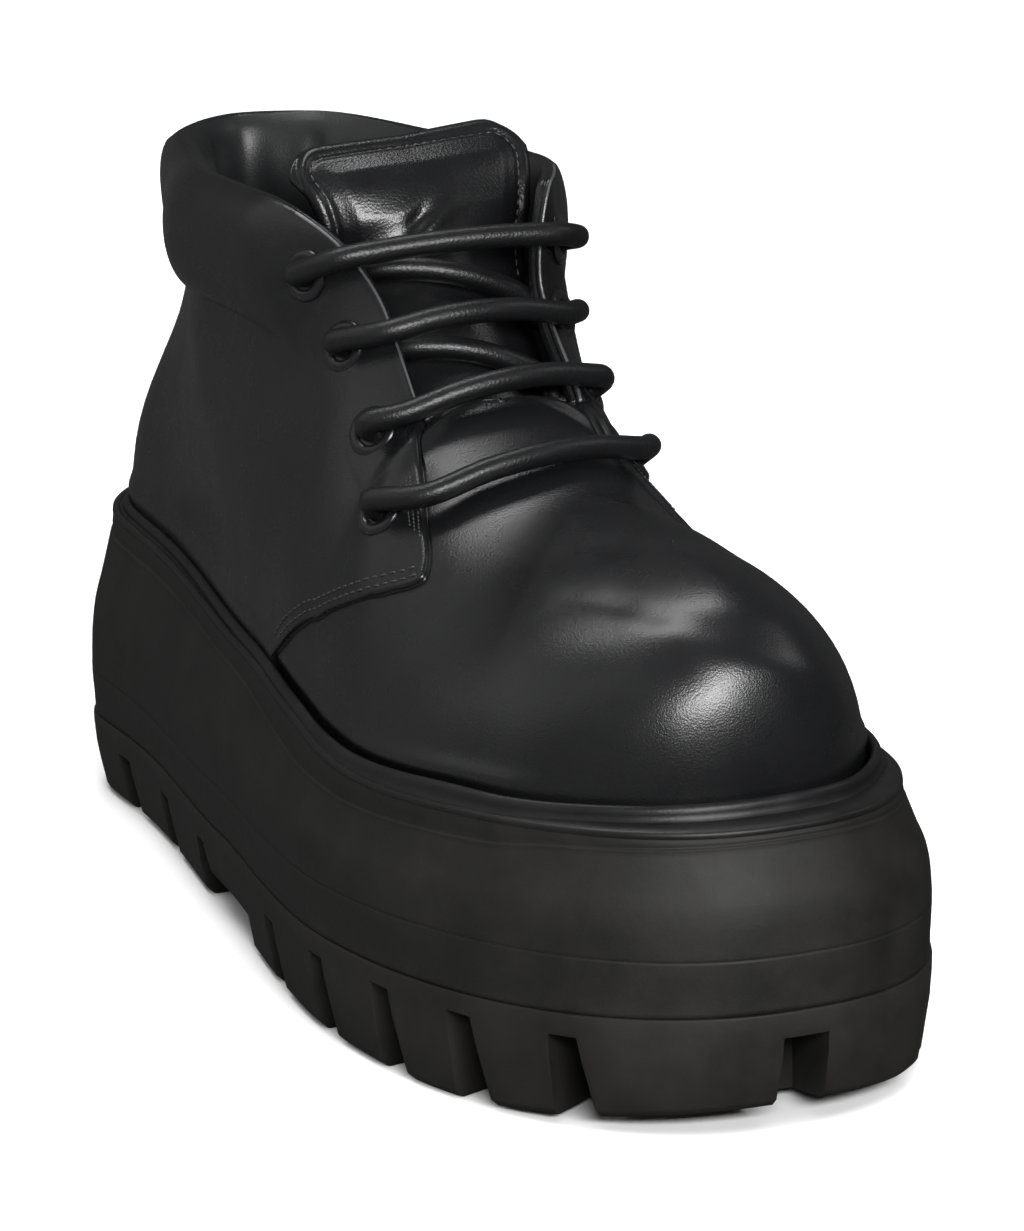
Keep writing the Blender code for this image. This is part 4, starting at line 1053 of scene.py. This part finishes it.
def tread():
    """The lugged outsole."""
    under = UNDER_FLOOR
    slant = above(spring, LUG_BEVEL)
    rows = [(BOTTOM_INSET + inset, above(spring, rise)) for inset, rise in SLANT_FOOT]
    rows += [(LUG_INSET + inset, above(slant, rise)) for inset, rise in SLANT_TOP]
    rows += [(inset, lug_z(of_step, of_spring)) for inset, of_step, of_spring in LUG_WALL]
    rows += [(inset, above(step_z, rise)) for inset, rise in LUG_TOP]
    obj = lofted("tread", loops(rows, TREAD_POINTS), TREAD)
    slots = [(side, slot) for slot in SLOTS for side in SIDES] + [(MEDIAL, TOE_SLOT)]
    carve(obj, boxes_mesh("slots", [
        slot_box(side, slot, slot_top(slot[0]), SLOT_DEPTH + under, under) for side, slot in slots
    ]))
    across = 2 * SOLE_SECTIONS[:, 2].max()
    along, width, flare = HEEL_BREAST
    turn = Matrix.Rotation(math.pi, 4, "Z")
    breast = (along - width / 2, along + width / 2, slot_top(along), flare)
    for start, end, high, drawn in (breast, (*ARCH, ARCH_Z, 0.0)):
        centre = Vector((0, SOLE_LENGTH / 2 - (start + end) / 2, (high - under) / 2))
        size = (across, end - start, high + under)
        carve(obj, boxes_mesh("arch", [(Matrix.Translation(centre) @ turn, size, drawn)]))
    soften = obj.modifiers.new("soften", "BEVEL")
    soften.width = LUG_ROUND
    soften.segments = 2
    soften.limit_method = "ANGLE"
    soften.angle_limit = math.radians(ROUND_FROM)
    soften.use_clamp_overlap = True
    bake(obj)
    obj.data.shade_smooth()
    obj.data.set_sharp_from_angle(angle=math.radians(SHARP_FROM))
    return piece(obj, "black_rubber", "outsole")


BEAD_RADIUS = 0.00115
BEAD_Z, BEAD_HEIGHT = 0.0007, 1.5  # its middle over the rim, and its height in radii
BEAD_GAP = 0.0001  # from the quarters' leather
# The channel beside the bead: distance from its inner foot and height over the rim. Then the band: the
# same distance, the least inset beyond the rim's, and height.
CHANNEL = ((0.0024, 0.0002), (0.0028, 0.0001))
BAND = ((0.0033, 0.0006, 0.0005), (0.0038, 0.0003, 0.0007))
# Over the welt's outer edge: inset from the rim's and height over it.
WELT_EDGE = ((-0.0001, 0.0006), (-0.0005, 0.0002), (-0.0006, -0.0006), (-0.0001, -0.0012))


def welt_ring():
    """Bead, channel and flat band round the upper's foot, rolled over at the rim."""
    def inner(s):
        return sole("upper_inset", s) - QUARTER_LIFT - BEAD_GAP

    def bead(angle):
        return (lambda s: inner(s) - BEAD_RADIUS * (1 - math.cos(angle)),
                lambda s: rim_z(s) + BEAD_Z + bead_lift(s) + BEAD_HEIGHT * BEAD_RADIUS * math.sin(angle))

    def band(from_bead, from_rim):
        return lambda s: np.maximum(inner(s) - from_bead, RIM_INSET + from_rim)

    rows = [(inner, above(rim_z, -WELT_THICKNESS))]
    rows += [bead(math.radians(d)) for d in range(0, 181, 30)]
    rows += [(above(inner, -away), above(rim_z, rise)) for away, rise in CHANNEL]
    rows += [(band(away, least), above(rim_z, rise)) for away, least, rise in BAND]
    rows += [(RIM_INSET + inset, above(rim_z, rise)) for inset, rise in WELT_EDGE]
    obj = lofted("welt_ring", loops(rows, WELT_POINTS), WELT, (False, False))
    merge(obj, FINE_WELD)
    return piece(obj, "welt_rubber", "welt")


FOOTBED_POINTS = 160  # heel to toe
FOOTBED_EDGE = ((INSOLE_THICKNESS, 0.0), (0.0008, 0.0), (0.0003, 0.0003), (0.0, 0.0010))  # depth and inset


def footbed():
    a = np.linspace(0, TOE, FOOTBED_POINTS)
    lateral, medial = (upper_skin(side, a, np.zeros(len(a)), WALL_INNER - TOUCH_GAP, 0) for side in SIDES)
    for end in (0, -1):
        lateral[end, 0] = medial[end, 0] = (lateral[end, 0] + medial[end, 0]) / 2
    ring = np.concatenate([lateral, medial[-2:0:-1]])
    towards = ring.mean(axis=0) - ring
    towards[:, 2] = 0
    made = [ring + unit(towards) * inset - (0, 0, INSOLE_DROP + depth) for depth, inset in FOOTBED_EDGE]
    return piece(lofted("footbed", made, FOOTBED), "footbed_leather", "insole")


# ---------------- tongue
TONGUE_FOLDS = (
    (((-14, 10, 150), (-6, 15, 153), (2, 22, 157)), -0.9, 1.8),
    (((-8, 12, 150), (0, 17, 153), (8, 22, 157)), 0.7, 2.0),
    (((-17, 2, 138), (-6, 4, 142), (8, 5, 143)), -0.9, 1.8),
    (((-16, -2, 134), (-4, -1, 137), (12, -1, 136)), 0.8, 2.0),
    (((-17, -6, 129), (-4, -6, 132), (14, -6, 131)), -0.9, 1.6),
    (((-15, -9, 126), (-2, -10, 128), (13, -9, 127)), 0.7, 1.8),
    (((-14, -12, 122), (-2, -14, 125), (12, -13, 124)), -0.8, 1.6),
)
TONGUE_SHELL = 0.0036  # its thickness under the middle surface
HEM_TOP, HEM_SIDE = 0.0042, 0.0034  # from the tongue's edge to its stitches
HEM_CORNER = 0.010  # the stitched line's radius there
HEM_GROOVE, HEM_ROLL = 0.0006, 0.0004  # depth along the stitches, height of the roll outside them
GROOVE_WIDTH = 0.0008
ROLL_AT, ROLL_HALF = 0.45, 0.55  # its middle and half width, as parts of the hem's
TONGUE_PAD, PAD_RISE = 0.0019, 0.012  # the padding's height, and over what it rises
PAD_FROM = 0.106  # place along where hem and padding begin
EDGE_ROUND, EDGE_WIDTH = 0.0013, 0.0008
TONGUE_ROWS, TONGUE_ACROSS = 150, 81
ROWS_TO_TOP, POINTS_TO_EDGE = 0.06, 0.18  # crowding of its mesh
STITCHES_FROM = 0.108
STITCH_PLACES, STITCH_ACROSS = 400, 401  # where the stitched line is looked for
STITCH_NEAR, TONGUE_STEP = 0.0002, 1e-4


def tongue_at(start, u):
    """The tongue's middle surface: rows by the place along before its top corners are rounded, and u from
    -1 to 1 across it."""
    last = TONGUE_SECTIONS[-1, 0]
    rounded = TONGUE_CORNER * ease((start - last) / (2 * TONGUE_CORNER) + 1)
    corner = np.clip((np.abs(u) - TONGUE_CORNER_FROM) / (1 - TONGUE_CORNER_FROM), 0, 1)
    along = start - rounded * corner**3
    row = dict(zip(TONGUE_COLUMNS, smooth(TONGUE_SECTIONS[:, 0], TONGUE_SECTIONS, along).T))
    drop = np.where(u < 0, row["lateral_drop"], row["medial_drop"])
    up = along + row["medial_rise"] * np.maximum(u, 0)
    return (np.outer(row["middle_x"] + row["half_width"] * u, (1, 0, 0)) + np.outer(up, THROAT_ALONG)
            + np.outer(row["under"] + drop * u * u, THROAT_UNDER)), row["half_width"]


def tongue_hem(start, u, half):
    """Distance in from the tongue's edge, scaled so that the stitched line is at HEM_TOP."""
    side = (1 - np.abs(u)) * half * HEM_TOP / HEM_SIDE
    top = TONGUE_SECTIONS[-1, 0] - start
    return HEM_CORNER - np.hypot(np.maximum(HEM_CORNER - side, 0), np.maximum(HEM_CORNER - top, 0))


def tongue_relief(flat, start, u, half):
    """Height of its outer face over the middle surface, and the share of it that rounds the edge."""
    hem = tongue_hem(start, u, half)
    upper_part = ease((start - PAD_FROM) / PAD_RISE)
    padded = ease((hem - HEM_TOP) / PAD_RISE) * upper_part
    groove = np.exp(-((hem - HEM_TOP) / GROOVE_WIDTH) ** 2) * upper_part
    rolled = np.clip(1 - ((hem - ROLL_AT * HEM_TOP) / (ROLL_HALF * HEM_TOP)) ** 2, 0, 1) * upper_part
    edge_round = -EDGE_ROUND * np.exp(-np.clip(hem, 0, 1) / EDGE_WIDTH)
    relief = TONGUE_PAD * padded - HEM_GROOVE * groove + HEM_ROLL * rolled + edge_round
    return relief + fold_field(flat, TONGUE_FOLDS), edge_round


def outwards(a, b):
    """The normals square to both that point out of the throat."""
    out = unit(np.cross(a, b)).reshape(-1, 3)
    return out * np.sign(out @ -THROAT_UNDER)[:, None]


def tongue_piece():
    first, last = TONGUE_SECTIONS[0, 0], TONGUE_SECTIONS[-1, 0]
    rows, across = TONGUE_ROWS, TONGUE_ACROSS
    steps = np.linspace(0, 1, rows)
    start = np.repeat(first + (last - first) * (steps + ROWS_TO_TOP * np.sin(np.pi * steps)), across)
    even_u = np.linspace(-1, 1, across)
    u = np.tile(even_u * (1 + POINTS_TO_EDGE - POINTS_TO_EDGE * np.abs(even_u)), rows)
    flat, half = tongue_at(start, u)
    grid = flat.reshape(rows, across, 3)
    out = outwards(np.gradient(grid, axis=1), np.gradient(grid, axis=0))
    relief, edge_round = tongue_relief(flat, start, u, half)
    outer = flat + out * relief[:, None]
    inner = flat - out * (TONGUE_SHELL + edge_round)[:, None]
    n = rows * across
    faces = grid_faces(rows, across) + grid_faces(rows, across, n, turned=True)
    numbers = np.arange(n).reshape(rows, across)
    border = [*numbers[0], *numbers[1:, -1], *numbers[-1, -2::-1], *numbers[-2:0:-1, 0]]
    for i, j in zip(border, border[1:] + border[:1]):
        faces.append((int(j), int(i), int(i + n), int(j + n)))
    obj = mesh_object("tongue_leather", np.vstack([outer, inner]), faces, TONGUE_LEATHER)
    merge(obj, FINE_WELD)
    return piece(obj, "black_leather", "tongue")


def tongue_stitches():
    """The stitched line inside the tongue's hem: its points and outward directions."""
    starts = np.linspace(STITCHES_FROM, TONGUE_SECTIONS[-1, 0], STITCH_PLACES)
    lines = []
    for side in (-1, 1):
        line = []
        for start in starts:
            half = tongue_at(np.array([start]), np.array([0.0]))[1][0]
            u = side * np.linspace(-1, 1, 2 * STITCH_ACROSS - 1)[STITCH_ACROSS - 1:]
            off = np.abs(tongue_hem(np.full(len(u), start), u, half) - HEM_TOP)
            k = int(np.argmin(off))
            if off[k] < STITCH_NEAR:
                line.append((start, u[k]))
        lines.append(line[::-side])
    start, u = np.array(lines[0] + lines[1]).T
    flat, half = tongue_at(start, u)
    along = tongue_at(start - TONGUE_STEP, u)[0] - flat
    across = tongue_at(start, u + TONGUE_STEP)[0] - flat
    out = outwards(along, across)
    relief, _ = tongue_relief(flat, start, u, half)
    return [Vector(p) for p in flat + out * relief[:, None]], [Vector(n) for n in out]


# ---------------- lace, eyelets, stitches
CORD_SIDES, ROUTE_STEPS = 20, 5
EYELET_ROUND = 48
# From the barrel over the rolled lip and down the flange's edge to the barrel: radius and height.
EYELET_PROFILE = (
    (EYELET_BORE, -0.0030), (EYELET_BORE, -0.0004), (EYELET_BORE + 0.00015, 0.00025),
    (EYELET_BORE + 0.0005, 0.00068), (EYELET_BORE + 0.0010, 0.00085), (EYELET_BORE + 0.0016, 0.00080),
    (EYELET_FLANGE - 0.0007, 0.00062), (EYELET_FLANGE - 0.00025, 0.00035), (EYELET_FLANGE, -0.0001),
    (EYELET_FLANGE - 0.0004, -0.0005), (EYELET_BARREL, -0.0006), (EYELET_BARREL, -0.0030),
)


def smooth_route(route):
    points = [Vector(p) for p in route]
    points = [points[0] * 2 - points[1]] + points + [points[-1] * 2 - points[-2]]
    dense = []
    for i in range(1, len(points) - 2):
        p0, p1, p2, p3 = points[i - 1:i + 3]
        for k in range(ROUTE_STEPS):
            t = k / ROUTE_STEPS
            dense.append(0.5 * ((2 * p1) + (p2 - p0) * t + (2 * p0 - 5 * p1 + 4 * p2 - p3) * t * t
                                + (3 * p1 - p0 - 3 * p2 + p3) * t * t * t))
    dense.append(points[-2])
    return dense


def tube(name, path, radius, sides, finish):
    """A round cord along a path, with flat ends."""
    points = []
    normal = None
    n = len(path)
    for i, p in enumerate(path):
        ahead = (path[min(i + 1, n - 1)] - path[max(i - 1, 0)]).normalized()
        if normal is None:
            normal = ahead.orthogonal().normalized()
        normal = (normal - ahead * normal.dot(ahead)).normalized()
        across = ahead.cross(normal)
        for k in range(sides):
            angle = 2 * math.pi * k / sides
            points.append(p + (normal * math.cos(angle) + across * math.sin(angle)) * radius)
    faces = grid_faces(n, sides, closed=True)
    faces.append(tuple(range(sides))[::-1])
    faces.append(tuple(range((n - 1) * sides, n * sides)))
    obj = mesh_object(name, points, faces, finish)
    merge(obj)
    return obj


def lace_piece():
    path = smooth_route(lace_route())
    obj = tube("lace_cord", path, LACE_RADIUS, CORD_SIDES, CORD)
    return piece(obj, "lace_leather", "lace")


def eyelet_rings():
    points, faces, nodes = [], [], []
    for _, name, number, point, normal in eyelet_places():
        matrix = Matrix.Translation(point) @ normal.to_track_quat("Z", "Y").to_matrix().to_4x4()
        offset = len(points)
        for radius, height in EYELET_PROFILE:
            for k in range(EYELET_ROUND):
                angle = 2 * math.pi * k / EYELET_ROUND
                points.append(matrix @ Vector((radius * math.cos(angle), radius * math.sin(angle), height)))
        faces += grid_faces(len(EYELET_PROFILE), EYELET_ROUND, offset, closed=True)
        nodes.append(f"eyelet_{name}_{number}")
    obj = mesh_object("eyelet_rings", points, faces, METAL)
    merge(obj)
    return piece(obj, "black_metal", *nodes)


# A stitch's rings: share of its length, size, and how far its middle stands up in parts of its height.
STITCH = (
    (0.0, 0.35, -0.9), (0.12, 0.8, 0.1), (0.35, 1.0, 0.6), (0.65, 1.0, 0.6), (0.88, 0.8, 0.1),
    (1.0, 0.35, -0.9),
)
STITCH_SIDES = 6
# Pitch, half width and height of a stitch, and the gap between two as a part of the pitch.
SEAM_STITCH = (0.0026, 0.00026, 0.00020, 0.22)
TACK_STITCH = (0.0010, 0.00022, 0.00018, 0.1)
HEM_STITCH = (0.0022, 0.00026, 0.00020, 0.22)
SEAM_INSETS, SEAM_V = (0.0017, 0.0038), np.linspace(0.03, 0.50, 90)  # from the cut edge, and heights
TACK_INSETS, TACK_V = (0.0012, 0.0022, 0.0032), np.linspace(0.575, 0.655, 12)


def capsule_ring(points, faces, a, b, up, width, height):
    """One stitch from a to b, lying on the leather."""
    ahead = b - a
    length = ahead.length
    ahead.normalize()
    across = ahead.cross(up).normalized()
    faces += grid_faces(len(STITCH), STITCH_SIDES, len(points), closed=True)
    for share, size, sink in STITCH:
        middle = a + ahead * length * share + up * height * sink
        for k in range(STITCH_SIDES):
            angle = math.pi / 3 * k
            points.append(middle + (across * math.cos(angle) * width + up * math.sin(angle) * height) * size)


def stitch_row(points, faces, line, ups, kind):
    pitch, width, height, gap = kind
    distance = np.concatenate([[0], np.cumsum([(q - p).length for p, q in zip(line, line[1:])])])
    count = max(1, int(distance[-1] / pitch))

    def at(table, t):
        place = t * distance[-1] / count
        return Vector([np.interp(place, distance, [row[c] for row in table]) for c in range(3)])

    for k in range(count):
        start, end = at(line, k + gap / 2), at(line, k + 1 - gap / 2)
        capsule_ring(points, faces, start, end, at(ups, k + 0.5).normalized(), width, height)


def stitch_rows():
    points, faces = [], []
    for side in SIDES:
        for inset in SEAM_INSETS:
            stitch_row(points, faces, *on_quarter(side, *inside_edge(side, SEAM_V, inset)), SEAM_STITCH)
        for inset in TACK_INSETS:  # the bar tack at the facing's corner
            a = quarter_front(TACK_V) - inset / seam_metric(TACK_V)
            stitch_row(points, faces, *on_quarter(side, a, TACK_V), TACK_STITCH)
    stitch_row(points, faces, *tongue_stitches(), HEM_STITCH)
    return piece(mesh_object("stitching", points, faces, THREAD), "black_leather")


def inside_edge(side, v, inset):
    """Section numbers and heights of the points that lie inset from the quarter's cut edge."""
    a = quarter_front(v)
    d = SLOPE_STEP
    along = per_section(side, a, v)
    upwards = (upper_point(side, a, v + d)[0] - upper_point(side, a, v - d)[0]) / (2 * d)
    run = on_edge(side, v + d) - on_edge(side, v - d)
    inwards = unit(np.cross(unit(np.cross(along, upwards)), unit(run)))
    inwards *= -np.sign((inwards * along).sum(axis=1))[:, None] * inset
    aa, av, vv = ((p * q).sum(axis=1) for p, q in ((along, along), (along, upwards), (upwards, upwards)))
    da, dv = (inwards * along).sum(axis=1), (inwards * upwards).sum(axis=1)
    spread = aa * vv - av ** 2
    return a + (da * vv - dv * av) / spread, v + (dv * aa - da * av) / spread


def on_quarter(side, a, v):
    """Points on the quarter's leather and the outward normals there."""
    low, normal = skin_and_normal(side, a, v, 0.0, PAD_OUT)
    at = low + normal * (QUARTER_LIFT + fold_field(low, FOLDS))[:, None]
    return [Vector(p) for p in at], [Vector(n) for n in normal]


upper_leather()
lining()
platform()
tread()
welt_ring()
footbed()
tongue_piece()
lace_piece()
eyelet_rings()
stitch_rows()


# ---------------- stage, lights, camera
STAGE = 6.0  # half the floor's side
WHITE = 0.86, 0.85, 0.87  # the paper's shade, and the two it is mottled between
CENTRE = (0, 0, 0.08)
# Place as azimuth, elevation and distance, the point aimed at, width, height and watts.
LIGHTS = (
    ("overhead", (20, 80, 2.2), (0, 0, 0.05), 2.4, 2.4, 78),
    ("front_softbox", (-8, 25, 2.0), (0, -0.05, 0.08), 1.2, 0.36, 60),
    ("left_softbox", (-108, 34, 2.2), (0, 0, 0.08), 2.2, 1.5, 4),
    ("back_strip", (-172, 69, 2.0), (0, 0, 0.1), 1.5, 0.34, 17),
    ("right_softbox", (75, 38, 2.0), (0, 0, 0.1), 0.7, 0.7, 3),
)
# The surround's even part, then its soft glows: direction, where its share of the view starts and ends,
# and strength. They come from the left, from above on the left and from behind on the left.
SURROUND = 0.06
GLOWS = (
    ((-1.0, 0.0, 0.0), 0.25, 0.95, 0.22),
    ((-0.5, 0.2, 0.84), 0.60, 0.95, 0.20),
    ((-0.5, 0.85, -0.15), 0.60, 0.98, 0.06),
)
CAMERA_AZIMUTH = -23.014
CAMERA_ELEVATION = 16.609
CAMERA_ROLL = -1.155
CAMERA_DISTANCE = 1.8
CAMERA_TARGET = (0, 0, 0.07)
LENS, SENSOR, SHIFT = 245.0, 36, 0.032
NEAREST, FARTHEST = 0.05, 30


def bearing(azimuth, elevation):
    """The direction at an azimuth from the toe's and an elevation, in degrees."""
    a, e = math.radians(azimuth), math.radians(elevation)
    return Vector((math.sin(a) * math.cos(e), -math.cos(a) * math.cos(e), math.sin(e)))


def area_light(name, place, aim, width, height, power):
    azimuth, elevation, distance = place
    data = bpy.data.lights.new(name, "AREA")
    data.shape = "RECTANGLE"
    data.size, data.size_y = width, height
    data.energy = power
    obj = add_object(name, data)
    place = Vector(CENTRE) + bearing(azimuth, elevation) * distance
    turn = (place - Vector(aim)).to_track_quat("Z", "Y").to_matrix().to_4x4()
    obj.matrix_world = Matrix.Translation(place) @ turn
    return obj


def studio_world():
    """A dim studio: its strength is the sum of the soft glows, and the first also brings the even part."""
    world = bpy.data.worlds.new("studio")
    world.use_nodes = True
    tree = world.node_tree
    tree.nodes["Background"].inputs["Color"].default_value = (1, 1, 1, 1)
    place = node(tree, "ShaderNodeTexCoord")
    total = None
    for direction, low, high, strength in GLOWS:
        share = node(tree, "ShaderNodeVectorMath", operation="DOT_PRODUCT")
        share.inputs[1].default_value = direction
        tree.links.new(place.outputs["Generated"], share.inputs[0])
        start = 0.0 if total else SURROUND
        result = mapped(tree, share.outputs["Value"], low, high, start, start + strength,
                        interpolation_type="SMOOTHSTEP")
        if total:
            both = node(tree, "ShaderNodeMath", operation="ADD")
            tree.links.new(total, both.inputs[0])
            tree.links.new(result, both.inputs[1])
            result = both.outputs["Value"]
        total = result
    tree.links.new(total, tree.nodes["Background"].inputs["Strength"])
    bpy.context.scene.world = world


def stage_and_lights():
    """A white floor and lights. Leather mirrors neither the floor nor the fill from overhead."""
    corners = [(x * STAGE, y * STAGE, 0) for x, y in ((-1, -1), (1, -1), (1, 1), (-1, 1))]
    shade, dark, light = WHITE
    paper = new_material("white_paper", (shade,) * 3, 0.8)
    grain = texture(paper, NOISE, 30.0, Detail=3.0)
    mottle(paper, grain, (dark,) * 3, (light,) * 3)
    floor = mesh_object("floor", corners, [(0, 1, 2, 3)], paper)
    floor.visible_glossy = False
    studio_world()
    bpy.context.scene.view_settings.view_transform = "Standard"
    for row in LIGHTS:
        made = area_light(*row)
        made.visible_glossy = made.name != "overhead"


def camera():
    back = bearing(CAMERA_AZIMUTH, CAMERA_ELEVATION)
    data = bpy.data.cameras.new("camera")
    data.sensor_fit = "VERTICAL"
    data.sensor_height = SENSOR
    data.lens = LENS
    data.shift_x = SHIFT
    data.clip_start, data.clip_end = NEAREST, FARTHEST
    data.dof.use_dof = False
    obj = add_object("camera", data)
    turn = back.to_track_quat("Z", "Y").to_matrix() @ Matrix.Rotation(math.radians(CAMERA_ROLL), 3, "Z")
    obj.matrix_world = Matrix.Translation(Vector(CAMERA_TARGET) + back * CAMERA_DISTANCE) @ turn.to_4x4()
    bpy.context.scene.camera = obj


stage_and_lights()
camera()
bpy.context.view_layer.update()
